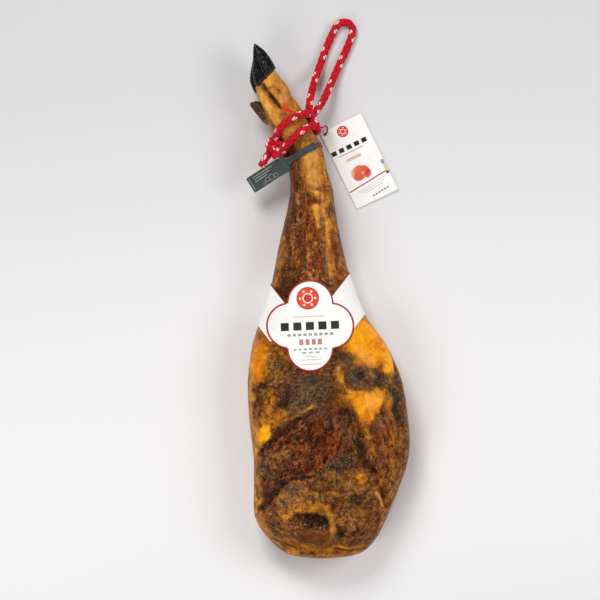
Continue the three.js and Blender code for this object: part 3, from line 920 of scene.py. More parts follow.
    def sculpted(self, points: Array, normals: Array, rise: Array, kinds: Array, grain: Array,
                 speckle: Speckle) -> Array:
        """Moves the vertices along their normals: the marks' own rise, fibres and lumps.

        Args:
            points: the vertices in millimetres.
            normals: their normals.
            rise: how far each mark lifts them.
            kinds: the shares of fibre, mould and fat.
            grain: their places along the fibres.
            speckle: the noise.

        Returns:
            The moved vertices.
        """
        y = points[:, 1]
        rump = smoothstep(-20, -70, y)
        fibres = self.fibre_lift * kinds[:, 0] * self.fibres.at(speckle, grain)
        grit = self.grit_lift * kinds[:, 1] * self.grit.at(speckle, points)
        lift = rise * self.mark_lift + fibres + grit
        above = smoothstep(0.1, 0.5, normals[:, 2])
        lift += (self.lump_lift + self.rump_lift * rump * above) * self.lumps.at(speckle, points)
        quiet = np.zeros(len(points))
        for start, full, last, end in self.covered:
            quiet = np.maximum(quiet, smoothstep(end, last, y) * smoothstep(start, full, y))
        lift *= 1 - self.calm * quiet
        lift -= self.sunk
        lift *= smoothstep(0.0, 5.0, points[:, 2])
        moved = points + normals * lift[:, None]
        moved[:, 2] = np.maximum(moved[:, 2], 0.0)
        return moved

    def finish(self) -> Material:
        """Cured flesh, fat and rind: satin, with fibres, mould specks, pores, painted highlights on
        its wrinkle crests and painted shade between them.
        """
        look = Recipe("cured_flesh", Coat_Weight=0.1, Coat_Roughness=0.18,
                      Specular_IOR_Level=0.1)
        base = look.attribute("flesh", "Color")
        kinds = look.add("ShaderNodeSeparateXYZ")
        look.feed(kinds.inputs[0], look.attribute("kinds", "Vector"))
        fibre, mould, fat = kinds.outputs
        place = look.place()
        grain = look.attribute("grain", "Vector")
        threads = look.noise(look.mapped(grain, (560, 120, 300)), 1.0, 4, 0.65)
        strands = look.noise(look.mapped(grain, (210, 42, 120)), 1.0, 3, 0.6, 0.3)
        clouds = look.noise(place, 130, 4, 0.65)
        crumbs = look.noise(place, 480, 4, 0.75)
        flecks = look.ramp(look.spots(look.mapped(grain, (300, 170, 240)), 1.0), 0.36, 0.14)
        lines = look.plus(look.ramp(threads, 0.34, 0.66, -0.6, 0.6),
                         look.ramp(strands, 0.32, 0.68, -0.5, 0.5))
        lines = look.times(lines, fibre)
        coarse = look.sum("SUBTRACT", 1.0, look.times(fat, 0.86))
        gritty = look.times(look.ramp(crumbs, 0.34, 0.66, -0.6, 0.7), coarse)
        mottle = look.times(look.ramp(clouds, 0.36, 0.64, -0.45, 0.4),
                          look.plus(coarse, 0.1))
        light = look.plus(look.plus(1.0, mottle), gritty)
        light = look.plus(light, look.times(lines, 0.6))
        folds = look.noise(look.mapped(grain, (130, 60, 110)), 1.0, 3, 0.55, 0.8)
        off = look.sum("ABSOLUTE", look.sum("SUBTRACT", folds, 0.5))
        crest = look.times(look.ramp(off, 0.028, 0.006), look.ramp(fat, 0.5, 0.15))
        # Painted shade in the lower ground between the raised wrinkle crests.
        crevice_shade = look.times(look.ramp(off, 0.06, 0.15), look.ramp(fat, 0.5, 0.15))
        light = look.sum("SUBTRACT", light, look.times(crevice_shade, 0.42))
        light = look.sum("MAXIMUM", light, 0.12)
        warm = look.add("ShaderNodeVectorMath", operation="MULTIPLY")
        look.feed(warm.inputs[0], base)
        warm.inputs[1].default_value = (1.12, 1.0, 0.62)
        lit = look.add("ShaderNodeVectorMath", operation="SCALE")
        look.feed(lit.inputs[0], warm.outputs[0])
        look.feed(lit.inputs["Scale"], light)
        where = look.ramp(look.noise(place, 420, 4, 0.75), 0.49, 0.62)
        dust = look.times(look.times(where, mould), 0.5)
        colour = look.mix(dust, lit.outputs[0], shade(150, 126, 106))
        white = look.times(look.times(flecks, fibre),
                         look.ramp(look.noise(place, 70, 3), 0.42, 0.62, 0.0, 0.6))
        colour = look.mix(white, colour, shade(184, 130, 84))
        # Painted highlights along the raised wrinkle crests, in patches.
        glint = look.times(crest,
                         look.ramp(look.noise(place, 48, 3), 0.46, 0.6, 0.0, 0.6))
        colour = look.mix(glint, colour, shade(200, 146, 92))
        rough = look.plus(look.ramp(crumbs, 0.3, 0.7, 0.28, 0.46),
                         look.times(mould, 0.2))
        height = look.plus(look.times(lines, 0.8),
                          look.times(crumbs, look.plus(coarse, 0.1)))
        height = look.plus(height, look.times(clouds, 0.9))
        height = look.plus(height, look.times(crest, 0.7))
        return look.dress(colour, rough, height, depth=1.1, strength=0.85)


# ---- horn


@dataclass(frozen=True)
class Horn:
    """The finish of a claw: its colours, how deep its growth ridges are, and its gloss."""

    name: str
    dark: Colour
    worn: Colour
    heel_and_sheen: Colour
    rough: float
    ridge: float

    def finish(self, towards: float) -> Material:
        """Horn with fine lines along it, worn places, and a paler band at the coronet, which on the
        black claws is a painted sheen.

        Args:
            towards: the angle from +X to the way that the claw points.

        Returns:
            The material.
        """
        look = Recipe(self.name, Coat_Weight=0.22, Coat_Roughness=0.14, Specular_IOR_Level=0.1)
        place = look.place()
        lines = look.noise(look.mapped(place, (60, 900, 500), (0, 0, -towards)), 1.0, 4, 0.6)
        clouds = look.noise(place, 160, 4, 0.6)
        chips = look.noise(place, 700, 3, 0.65)
        worn = look.times(look.ramp(clouds, 0.5, 0.72), look.ramp(lines, 0.35, 0.65))
        colour = look.mix(worn, self.dark, self.worn)
        # Near the coronet: pale skin on the brown dewclaw, and a painted paler sheen on the black
        # claws.
        colour = look.mix(look.ramp(look.attribute("heel_and_sheen"), 0.0, 1.0, 0, 0.8), colour, self.heel_and_sheen)
        rough = look.ramp(chips, 0.3, 0.7, self.rough - 0.1, self.rough + 0.14)
        height = look.plus(look.times(lines, 0.8),
                          look.times(chips, 0.5))
        return look.dress(colour, rough, height, depth=0.45, strength=0.7)


@dataclass
class Claw:
    """One horn claw, ringed with growth ridges from its coronet to its tip."""

    node: str
    coronet: Pair
    towards: float  # the angle from +X to the way that it points
    horn: Horn
    slot: str
    voxel: float = 0.8
    smoothing: int = 6
    ring: float = 3.4  # from one growth ridge to the next
    waver: Wobble = Wobble(2.4, 15)  # how far a growth ridge strays
    swell: Wobble = Wobble(1.0, 13, shift=9)
    chips: Wobble = Wobble(0.7, 4, shift=-9)
    proud: float = 0.25
    heel_and_sheen: float = 9.0  # how far the pale band at the coronet runs out over the horn: skin on the brown dewclaw, a painted sheen on the black claws
    heel_edge: Wobble = Wobble(4, 7, shift=3)
    hollow: bool = False
    scoop: Pair = (6.5, 14.0)  # half its width and half its length
    scoop_depth: float = 4.5
    cleft: tuple[Pair, ...] = ()  # the line of the fold beside its ridge
    cleft_width: Pair = (3.2, 2.0)  # at its two ends
    cleft_depth: float = 3.2
    lip_rise: float = 2.0
    lip_shift: float = 5.5  # from the fold to the ridge beside it

    def build(self) -> bpy.types.Object:
        """Shapes and dresses the claw.

        Returns:
            The piece.
        """
        mesh = solid_copy(self.node, self.voxel, self.smoothing)
        points, normals = points_of(mesh), normals_of(mesh)
        way = np.array([math.cos(self.towards), math.sin(self.towards)])
        speckle = Speckle(len(self.node))
        out = (points[:, :2] - self.coronet) @ way
        wavy = out + self.waver.at(speckle, points)
        ring = np.sin(wavy * 2 * math.pi / self.ring)
        lift = self.horn.ridge * ring * smoothstep(2, 9, out) + self.proud
        lift += self.swell.at(speckle, points)
        lift += self.chips.at(speckle, points)
        up = normals[:, 2]
        if self.hollow:
            lift -= self.hollowed(points, normals, out)
        if self.cleft:
            lift -= self.cleft_depth * self.fold(points, 0.0) * smoothstep(-0.2, 0.4, up)
            lift += self.lip_rise * self.fold(points, self.lip_shift) * smoothstep(0.0, 0.5, up)
        move_points(mesh, points + normals * lift[:, None])
        # The pale band at the coronet, a painted sheen on the black claws.
        heel_and_sheen = smoothstep(self.heel_and_sheen, 0, out + self.heel_edge.at(speckle, points))
        paint_attribute(mesh, "heel_and_sheen", heel_and_sheen)
        finish = self.horn.finish(self.towards)
        return add_piece(self.node + "_horn", mesh, self.slot, self.node, finishes=[finish])

    def fold(self, points: Array, shift: float) -> Array:
        """How much of the cleft, or of the ridge beside it, lies at each point.

        Args:
            points: the vertices in millimetres.
            shift: how far to the side of the cleft the line is.

        Returns:
            Shares from 0 to 1.
        """
        side = np.array([math.sin(self.towards), -math.cos(self.towards)]) * shift
        line = Stroke(Flesh.BLACK, self.cleft, *self.cleft_width)
        return line.cover(points[:, 0] - side[0], points[:, 1] - side[1])

    def hollowed(self, points: Array, normals: Array, out: Array) -> Array:
        """How far the side that faces up is scooped out, as a broken shell is.

        Args:
            points: the vertices in millimetres.
            normals: their normals.
            out: how far each is from the coronet.

        Returns:
            Millimetres.
        """
        middle = points.mean(axis=0)
        side = np.array([-math.sin(self.towards), math.cos(self.towards)])
        across = (points[:, :2] - middle[:2]) @ side
        along = out - out.mean()
        wide, long = self.scoop
        scoop = smoothstep(1.0, 0.2, np.hypot(across / wide, along / long))
        return self.scoop_depth * scoop * smoothstep(0.1, 0.7, normals[:, 2])


# ---- the shank's skin


class Skin:
    """Finds the finished leg's skin from outside, for everything that goes round it."""

    first, last, step = -400.0, 300.0, 4.0  # the sections along the leg
    slab = 3.5  # how far from a section its vertices may be
    below, above = 0.45, 0.55  # how a section's height is shared under and over its axis
    outside = 1.6  # how far out a ray starts, in half sizes of the section

    def __init__(self, leg: bpy.types.Object) -> None:
        """Reads the leg's sections and prepares it for rays.

        Args:
            leg: the finished leg.
        """
        graph = bpy.context.evaluated_depsgraph_get()
        self.tree = BVHTree.FromObject(leg, graph)
        points = points_of(leg.data)
        self.stations = np.arange(self.first, self.last, self.step)
        rows = []
        for y in self.stations:
            near = points[np.abs(points[:, 1] - y) < self.slab]
            (low_x, low_z), (high_x, high_z) = near[:, [0, 2]].min(0), near[:, [0, 2]].max(0)
            rows.append([(low_x + high_x) / 2, (high_x - low_x) / 2, low_z, high_z])
        self.sections = np.array(rows)

    def section(self, y: float) -> list[float]:
        """The middle, half width, underside and top of the leg at a place along it."""
        return [float(np.interp(y, self.stations, self.sections[:, k])) for k in range(4)]

    def at(self, y: float, angle: float, lift: float) -> Array:
        """The point on the skin at a place along the leg and an angle from +X over +Z.

        Args:
            y: millimetres along the leg.
            angle: radians round it.
            lift: how far off the skin the point is.

        Returns:
            The point, in millimetres from the leg's origin.
        """
        middle, half, under, over = self.section(y)
        axis = np.array([middle, y, under + (over - under) * self.below])
        tall = (over - under) * (self.above if math.sin(angle) > 0 else self.below)
        out = np.array([math.cos(angle) * half, 0.0, math.sin(angle) * tall])
        start = (axis + self.outside * out + LEG_ORIGIN) * MM
        hit, normal, _, _ = self.tree.ray_cast(Vector(start), Vector(-out), 1.0)
        if hit is None:
            return axis + out
        point = np.array(hit) / MM - LEG_ORIGIN + np.array(normal) * lift
        point[2] = max(point[2], lift)
        return point


@dataclass(frozen=True)
class Slant:
    """A slanting plane round the leg: its place on the leg's axis and its rise to +X and +Z."""

    y: float
    right: float
    front: float

    def at(self, angle: float) -> float:
        """How far along the leg the plane lies at an angle round it."""
        return self.y + self.right * math.cos(angle) + self.front * math.sin(angle)


# ---- rope


@dataclass(frozen=True)
class RopeFinish:
    """Red braided rope with pale tracer strands."""

    red: Colour = shade(212, 4, 30)
    # The darker red: its cloudy tone, and the painted shade between the strands.
    deep: Colour = shade(128, 0, 16)
    pale: Colour = shade(250, 226, 216)

    def material(self) -> Material:
        """Yarn lines in each strand, painted shade between the strands, and the tracers' pale yarn.
        """
        look = Recipe("braided_rope", Sheen_Weight=0.05, Sheen_Roughness=0.45,
                      Specular_IOR_Level=0.2)
        place = look.place()
        fuzz = look.noise(place, 1400, 3, 0.7)
        clouds = look.noise(place, 110, 3, 0.6)
        strand = look.attribute("strand")
        yarn = look.sum("COSINE", look.attribute("yarn"))
        # Painted shade: darker where a strand dips between its neighbours.
        depth = look.plus(strand, look.times(yarn, -0.08))
        red = look.mix(look.ramp(depth, 0.1, 0.7), self.deep, self.red)
        red = look.mix(look.ramp(clouds, 0.42, 0.7, 0, 0.5), red, self.deep)
        red = look.mix(look.ramp(fuzz, 0.55, 0.8, 0, 0.2), red, shade(226, 60, 76))
        thread = look.times(look.attribute("tracer"), look.ramp(yarn, 0.5, 0.0))
        colour = look.mix(look.ramp(thread, 0.3, 0.55), red, self.pale)
        height = look.plus(look.times(yarn, -0.3), fuzz)
        return look.dress(colour, look.ramp(fuzz, 0.3, 0.7, 0.62, 0.85), height, 0.35, 0.7)


@dataclass(frozen=True)
class Braid:
    """How a rope is plaited: its radius, strands each way round, and the length of one turn."""

    radius: float
    strands: int = 4
    lay: float = 46.0
    relief: float = 0.9
    level: float = 0.62  # the height in a strand that lies at the radius
    tracers: tuple[int, ...] = (0,)

    def shape(self, around: Array, along: Array) -> tuple[Array, Array, Array, Array]:
        """The plait at places on the rope.

        Args:
            around: shares of a turn round it.
            along: millimetres along it.

        Returns:
            The relief in millimetres, each place's height in its strand from 0 to 1, how much of
            a pale tracer shows there, and the yarn's phase.
        """
        one = (around + along / self.lay) * self.strands
        two = (around - along / self.lay) * self.strands
        first = (np.floor(one) + np.floor(two)) % 2 < 1
        across = np.where(first, one, two) % 1
        onward = np.where(first, two, one) % 1
        height = np.sin(math.pi * across) ** 0.5 * (0.5 + 0.5 * np.sin(math.pi * onward) ** 0.6)
        number = np.where(first, np.floor(one) % self.strands, -1)
        inner = smoothstep(0.04, 0.16, onward) * smoothstep(0.96, 0.84, onward)
        tracer = np.isin(number, self.tracers) * inner * smoothstep(0.05, 0.2, height)
        return self.relief * (height - self.level), height, tracer, 4 * math.pi * across


@dataclass
class Rope:
    """A length of braided rope along a line of points."""

    name: str
    line: Array
    braid: Braid
    slot: str
    nodes: tuple[str, ...]
    sides: int = 40
    taper: float = 0.0  # how much the cut end spreads
    taper_length: float = 6.0
    dome_inset: float = 1.2
    dome_rise: float = 0.8

    def build(self, finish: Material) -> bpy.types.Object:
        """Plaits and dresses the rope.

        Args:
            finish: the rope's material.

        Returns:
            The piece.
        """
        rings = len(self.line) - 1
        side, other = side_vectors(self.line)
        steps = np.linalg.norm(np.diff(self.line, axis=0), axis=1)
        run = np.concatenate([[0.0], np.cumsum(steps)])
        kept: dict[str, Array] = {}

        def place(u: Array, v: Array) -> Array:
            """The plait's points, for shares of the way round the rope and along it."""
            ring = np.rint(v * rings).astype(int)
            relief, strand, tracer, yarn = self.braid.shape(u, run[ring])
            kept.update(strand=strand, tracer=tracer, yarn=yarn)
            cut = smoothstep(run[-1] - self.taper_length, run[-1], run[ring])
            spread = 1 + self.taper * cut
            radius = ((self.braid.radius + relief) * spread)[:, None]
            angle = (2 * math.pi * u)[:, None]
            return self.line[ring] + radius * (np.cos(angle) * side[ring]
                                               + np.sin(angle) * other[ring])

        mesh = bent_sheet(self.name, self.sides, rings, place)
        for key, values in kept.items():
            paint_attribute(mesh, key, values)
        self.close(mesh)
        return add_piece(self.name, mesh, self.slot, *self.nodes, finishes=[finish])

    def close(self, mesh: Mesh) -> None:
        """Joins the tube's seam and closes its ends with low domes.

        Args:
            mesh: the open tube, which is changed.
        """
        work = bmesh.new()
        work.from_mesh(mesh)
        bmesh.ops.remove_doubles(work, verts=work.verts, dist=SAME_PLACE)
        rims = [e for e in work.edges if e.is_boundary]
        ends = bmesh.ops.holes_fill(work, edges=rims, sides=0)["faces"]
        bmesh.ops.inset_region(work, faces=ends, thickness=self.dome_inset * MM,
                               depth=self.dome_rise * MM)
        bmesh.ops.recalc_face_normals(work, faces=work.faces)
        work.to_mesh(mesh)
        work.free()


@dataclass
class Hanging:
    """The rope that the ham hangs by: two turns, their knot with its cut end, and the loop."""

    skin: Skin
    diameter: float = 12.0
    strand: float = 0.15  # how far the strands stand out from the braid's radius
    clearance: float = 0.2
    upper: Slant = Slant(277.0, 19.0, 10.0)
    lower: Slant = Slant(258.0, 19.0, 7.0)
    turn_gap: float = 0.05  # radians left open at each end of a turn, inside the knot
    turn_points: int = 49
    step: float = 0.75
    knot_reach: float = 14.0
    knot_depth: float = 6.0
    knot_middle: Point = (-83.5, 245.0, 60.0)
    knot_across: Point = (0.89, -0.45, 0.0)
    knot_upward: Point = (0.45, 0.89, 0.0)
    knot_gap: float = 0.42  # radians
    cut_spread: float = 0.12
    knot_points: int = 34
    knot_start: Point = (-66.0, 236.0, 50.0)
    cut_end: tuple[Point, ...] = ((-99.0, 229.0, 57.0), (-105.0, 217.5, 51.0))
    # Also from the right end of the upper turn: across, along, and the height above the floor.
    hitch_points: tuple[Point, ...] = (
        (-6, 8, 52), (1, 5, 55), (6, -5, 55), (10, -15, 54), (12, -24, 50), (8, -27, 44),
    )
    # From the right end of the upper turn: across, along, and the height of the underside.
    loop_points: tuple[Point, ...] = (
        (-1.5, 9, 47.5), (0, 23, 41), (3, 39, 30), (7, 54, 18), (12, 70, 7.5), (18, 87, 1.6),
        (24, 104, 0.2), (30, 119, 0.1), (36, 132, 0.1), (42.5, 144, 0.1), (52, 151.5, 0.1),
        (62.5, 150.5, 0.1), (68.5, 142, 0.1), (67.5, 130, 0.1), (63, 118, 0.1), (57, 104, 0.2),
        (50, 89, 0.8), (43, 73, 3.5), (36, 57, 9), (29, 41, 18), (21, 24, 28), (8.5, 5, 38),
    )
    turn_right: Pair = (-27.94, 297.84)

    def build(self) -> None:
        finish = RopeFinish().material()
        braid = Braid(self.diameter / 2 - self.strand)
        lengths = {"rope_turn_upper": self.turn(self.upper), "rope_turn_lower": self.turn(self.lower),
                   "rope_knot": self.knot(), "rope_hitch": self.hitch(), "rope_loop": self.loop()}
        for node, points in lengths.items():
            line = smooth_route(points, self.step)
            nodes = () if node == "rope_hitch" else (node,)
            taper = self.cut_spread if node == "rope_knot" else 0.0
            rope = Rope(node + "_braid", line, braid, "red_rope", nodes, taper=taper)
            piece = rope.build(finish)
        # The loop came last, so line and piece are its own.
        length_of(line) * MM

    def turn(self, slant: Slant) -> list[Array]:
        """The route of one turn round the shank, from the knot at its left and back to it."""
        angles = np.linspace(math.pi + self.turn_gap, 3 * math.pi - self.turn_gap,
                             self.turn_points)
        lift = self.diameter / 2 + self.clearance
        return [self.skin.at(slant.at(a), a, lift) for a in angles]

    def knot(self) -> list[Array | Point]:
        """The route of an overhand knot over both turns, and of the cut end that hangs out.

        Returns:
            The points that it passes through.
        """
        middle = np.array(self.knot_middle)
        across = np.array(self.knot_across)
        upward = np.array(self.knot_upward)
        proud = np.array([0.0, 0.0, 1.0])
        points = [self.knot_start]
        for t in np.linspace(math.pi + self.knot_gap, 3 * math.pi - self.knot_gap,
                             self.knot_points):
            points.append(middle + self.knot_reach * (math.sin(t) + 2 * math.sin(2 * t)) / 3 * across
                          + self.knot_reach * (math.cos(t) - 2 * math.cos(2 * t)) / 3 * upward
                          - self.knot_depth * math.sin(3 * t) * proud)
        return [*points, *self.cut_end]

    def hitch(self) -> list[Point]:
        """The route of the short stretch that ties the loop's ends to both turns."""
        x, y = self.turn_right
        return [(x + across, y + along, high) for across, along, high in self.hitch_points]

    def loop(self) -> list[Array]:
        """The route of the loop, dropped from the shank and lying on the surface."""
        start = np.array([*self.turn_right, self.diameter / 2])
        return [start + p for p in self.loop_points]


# ---- the seal


@dataclass(frozen=True)
class SealFinish:
    """Moulded dark green-grey plastic and the pale ink on it."""

    plastic: Colour = shade(50, 64, 60)
    ink: Colour = shade(178, 186, 180)

    def moulded(self) -> Material:
        """The plastic, finely textured and a little scuffed."""
        look = Recipe("seal_plastic", Specular_IOR_Level=0.45)
        place = look.place()
        fine = look.noise(place, 2600, 2, 0.6)
        scuffs = look.noise(look.mapped(place, (300, 60, 200), (0, 0, 0.5)), 1.0, 4, 0.65)
        cloud = look.noise(place, 110, 3)
        colour = look.mix(look.ramp(scuffs, 0.55, 0.72, 0, 0.4), self.plastic, shade(84, 100, 94))
        colour = look.mix(look.ramp(cloud, 0.4, 0.7, 0, 0.5), colour, shade(36, 46, 44))
        return look.dress(colour, look.ramp(fine, 0.3, 0.7, 0.42, 0.6), fine, 0.12, 0.6)

    def printed(self) -> Material:
        """The ink, worn in places."""
        look = Recipe("seal_ink", Specular_IOR_Level=0.4)
        worn = look.ramp(look.noise(look.place(), 900, 3, 0.7), 0.42, 0.62)
        colour = look.mix(worn, shade(110, 122, 116), self.ink)
        return look.dress(colour, look.ramp(worn, 0, 1, 0.7, 0.5))


@dataclass
class Seal:
    """The moulded seal: a plate beside the shank, its arm and pin, and the strap behind."""

    skin: Skin
    plane: Slant = Slant(236.0, 15.0, 4.0)
    length: float = 72.0
    width: float = 27.0
    thick: float = 3.0
    neck: float = 14.0
    tilt: float = 0.3
    turn: float = 3.71
    root: Point = (-59.33, 226.13, 66.47)
    arm_width: float = 10.0
    arm_thick: float = 2.4
    arm_from: float = 2.62
    arm_to: float = 0.95
    arm_lap: float = 0.1  # radians that the arm runs on under the plate
    strap_width: float = 1.8
    strap_thick: float = 1.0
    strap_shift: float = 2.1  # how far each of the two straps is from the middle
    strap_gap: float = 0.02  # radians between strap and arm
    skin_gap: float = 0.5
    pin_radius: float = 3.4
    pin_height: float = 0.6  # its height as a share of its width
    pin_place: float = 0.35  # how far along the arm it is, from the end at the right
    pin_lift: float = 2.7
    ink_thick: float = 0.3
    ring_wire: float = 0.38
    finish: SealFinish = SealFinish()

    def build(self) -> None:
        """Makes the plate, the arm with its pin, and the strap."""
        moulded, printed = self.finish.moulded(), self.finish.printed()
        add_piece("seal_plate", self.plate(), "seal_plastic", "seal_tag", finishes=[moulded])
        add_piece("seal_marks", self.marks(), "seal_plastic", finishes=[printed])
        arm = self.band("seal_arm", self.arm_width, self.arm_thick, self.arm_from + self.arm_lap,
                        self.arm_to, columns=60)
        add_piece("seal_arm", arm, "seal_plastic", finishes=[moulded])
        add_piece("seal_pin", self.pin(), "seal_plastic", finishes=[moulded])
        for edge, nodes in ((-1, ("seal_strap",)), (1, ())):
            name = "seal_strap_low" if edge < 0 else "seal_strap_high"
            strap = self.band(name, self.strap_width, self.strap_thick,
                              self.arm_to + self.strap_gap,
                              self.arm_from - 2 * math.pi + self.strap_gap,
                              columns=150, shift=edge * self.strap_shift)
            add_piece(name, strap, "seal_plastic", *nodes, finishes=[moulded])

    def matrix(self) -> Matrix:
        """Takes the plate's own axes, length along X and face up, to its place."""
        start = (np.array(self.root) + LEG_ORIGIN) * MM
        return (Matrix.Translation(Vector(start)) @ Matrix.Rotation(self.turn, 4, "Z")
                @ Matrix.Rotation(self.tilt, 4, "Y"))

    def plate(self) -> Mesh:
        """The plate with its rounded edge, a step by its neck and the neck's bridge."""
        work = bmesh.new()
        start = self.neck / 2
        self.block(work, x=start + self.length / 2, y=0, long=self.length, wide=self.width,
                   thick=self.thick, corner=2.2)
        self.block(work, x=start + 5, y=0, long=9, wide=self.width + 1.2,
                   thick=self.thick + 1.6, corner=1.2)
        self.block(work, x=start - 3, y=0, long=self.neck + 8, wide=self.arm_width + 1,
                   thick=self.thick + 0.4, corner=1.0)
        return self.placed(work, "seal_plate")

    def marks(self) -> Mesh:
        """The raised lines and the plain ornament on the plate."""
        work = bmesh.new()
        start = self.neck / 2
        top = self.thick / 2 + 0.05
        for row, (at, long) in enumerate(((43, 38), (46, 30), (49, 24))):
            self.block(work, x=start + at, y=-8.6 + 3.8 * row, long=long, wide=1.4,
                       thick=self.ink_thick, corner=0.15, z=top)
        self.block(work, x=start + 68, y=0, long=1.2, wide=self.width - 6,
                   thick=self.ink_thick, corner=0.15, z=top)
        for radius, x, y in ((4.6, 34, 6.6), (3.2, 42, 6.2), (3.6, 26, 7.4), (2.2, 48, 8.6)):
            self.ring(work, start + x, y, radius, top)
        return self.placed(work, "seal_marks")

    def placed(self, work: Work, name: str) -> Mesh:
        """Moves what was made on the plate's own axes to its place.

        Args:
            work: what was made, which is used up.
            name: the mesh's name.

        Returns:
            The mesh.
        """
        bmesh.ops.transform(work, matrix=self.matrix(), verts=work.verts)
        return finished(work, name)

    @staticmethod
    def block(work: Work, x: float, y: float, long: float, wide: float, thick: float,
              corner: float, z: float = 0.0) -> None:
        """A slab with rounded corners and softened edges.

        Args:
            work: the mesh that it is added to.
            x: its middle along the plate.
            y: its middle across the plate.
            long: its length.
            wide: its width.
            thick: its thickness.
            corner: the radius of its corners.
            z: its middle above the plate's.
        """
        size = Matrix.Diagonal((long * MM, wide * MM, thick * MM, 1))
        place = Matrix.Translation((x * MM, y * MM, z * MM))
        made = bmesh.ops.create_cube(work, size=1.0, matrix=place @ size)["verts"]
        edges = {e for v in made for e in v.link_edges}
        upright = [e for e in edges if abs((e.verts[0].co - e.verts[1].co).z) > 0.5 * thick * MM]
        bmesh.ops.bevel(work, geom=upright, offset=corner * MM, segments=5, profile=0.5,
                        affect="EDGES", material=-1)
        faces = {f for f in work.faces if abs(f.normal.z) > 0.99
                 and (f.calc_center_median() - Vector((x, y, z)) * MM).length < 0.9 * thick * MM}
        rims = {e for f in faces for e in f.edges}
        bmesh.ops.bevel(work, geom=list(rims), offset=min(0.5, thick * 0.3) * MM, segments=3,
                        profile=0.5, affect="EDGES", material=-1)

    def ring(self, work: Work, x: float, y: float, radius: float, z: float) -> None:
        """A thin raised ring, part of the plain ornament.

        Args:
            work: the mesh that it is added to.
            x: its middle along the plate.
            y: its middle across the plate.
            radius: its radius.
            z: its height above the plate's middle.
        """
        start = Vector(((x + radius) * MM, y * MM, z * MM))
        turn = Matrix.Translation(start) @ Matrix.Rotation(math.pi / 2, 4, "X")
        wire = bmesh.ops.create_circle(work, segments=8, radius=self.ring_wire * MM, matrix=turn)
        made = wire["verts"]
        edges = list({e for v in made for e in v.link_edges})
        bmesh.ops.spin(work, geom=list(made) + edges, cent=Vector((x, y, z)) * MM, axis=(0, 0, 1),
                       angle=2 * math.pi, steps=36, use_merge=True)

    def band(self, name: str, width: float, thick: float, start: float, end: float,
             columns: int, shift: float = 0.0) -> Mesh:
        """A flat band bent round the shank in the seal's slanting plane.

        Args:
            name: the mesh's name.
            width: its width.
            thick: its thickness.
            start: the angle that it starts at.
            end: the angle that it ends at.
            columns: faces along it.
            shift: how far its middle is from the plane, towards the foot.

        Returns:
            The band's mesh.
        """
        def place(u: Array, v: Array) -> Array:
            """Points on the skin, for shares of the way along the band and across it."""
            angles = start + u * (end - start)
            return np.array([
                self.skin.at(self.plane.at(a) + shift + (w - 0.5) * width, a, self.skin_gap)
                for a, w in zip(angles, v)])

        mesh = bent_sheet(name, columns, 4, place)
        with_thickness(mesh, thick)
        return mesh

    def pin(self) -> Mesh:
        """The domed pin that holds the arm to the strap."""
        angle = self.arm_to + self.pin_place * (self.arm_from - self.arm_to)
        foot = self.skin.at(self.plane.at(angle), angle, self.pin_lift)
        work = bmesh.new()
        bmesh.ops.create_uvsphere(work, u_segments=24, v_segments=12, radius=self.pin_radius * MM)
        bmesh.ops.scale(work, vec=(1, 1, self.pin_height), verts=work.verts)
        bmesh.ops.translate(work, vec=Vector((foot + LEG_ORIGIN) * MM), verts=work.verts)
        return finished(work, "seal_pin")


# ---- print on paper


class Form(Enum):
    """The outlines that a printed mark may have."""

    BAR = "bar"
    DISC = "disc"


@dataclass(frozen=True)
class Mark:
    """One plain printed mark, in millimetres on the paper: its middle, half sizes and turn."""

    form: Form
    x: float
    y: float
    wide: float
    high: float
    ink: Colour
    strength: float = 1.0
    turn: float = 0.0


BLACK = shade(28, 28, 30)
GREY = shade(160, 160, 162)
RED = shade(172, 34, 36)
ORANGE = shade(228, 66, 36)


def rosette(x: float, y: float, radius: float) -> list[Mark]:
    """A plain round rosette: discs one on the other and six dots.

    Args:
        x: its middle across the paper.
        y: its middle up the paper.
        radius: its radius.

    Returns:
        The marks, the lowest first.
    """
    cream = shade(250, 236, 226)
    discs = ((1.0, shade(150, 40, 34)), (0.92, ORANGE), (0.46, cream), (0.36, shade(206, 44, 36)))
    marks = [Mark(Form.DISC, x, y, share * radius, share * radius, ink) for share, ink in discs]
    ring, dot = 0.68 * radius, 0.1 * radius
    for step in range(6):
        angle = step * math.pi / 3
        marks.append(Mark(Form.DISC, x + ring * math.cos(angle), y + ring * math.sin(angle),
                          dot, dot, cream))
    return marks


def row_of_blocks(x: float, y: float, long: float, half: float, count: int,
                  ink: Colour = BLACK, strength: float = 1.0) -> list[Mark]:
    """Plain blocks in a row, where a line of print would be.

    Args:
        x: the row's middle.
        y: the row's height on the paper.
        long: the row's length.
        half: half the blocks' height.
        count: how many there are.
        ink: their colour.
        strength: how much of the ink shows.

    Returns:
        The marks.
    """
    pitch = long / (count - 0.35)
    first = x - pitch * (count - 1) / 2
    return [Mark(Form.BAR, first + pitch * i, y, 0.325 * pitch, half, ink, strength)
            for i in range(count)]


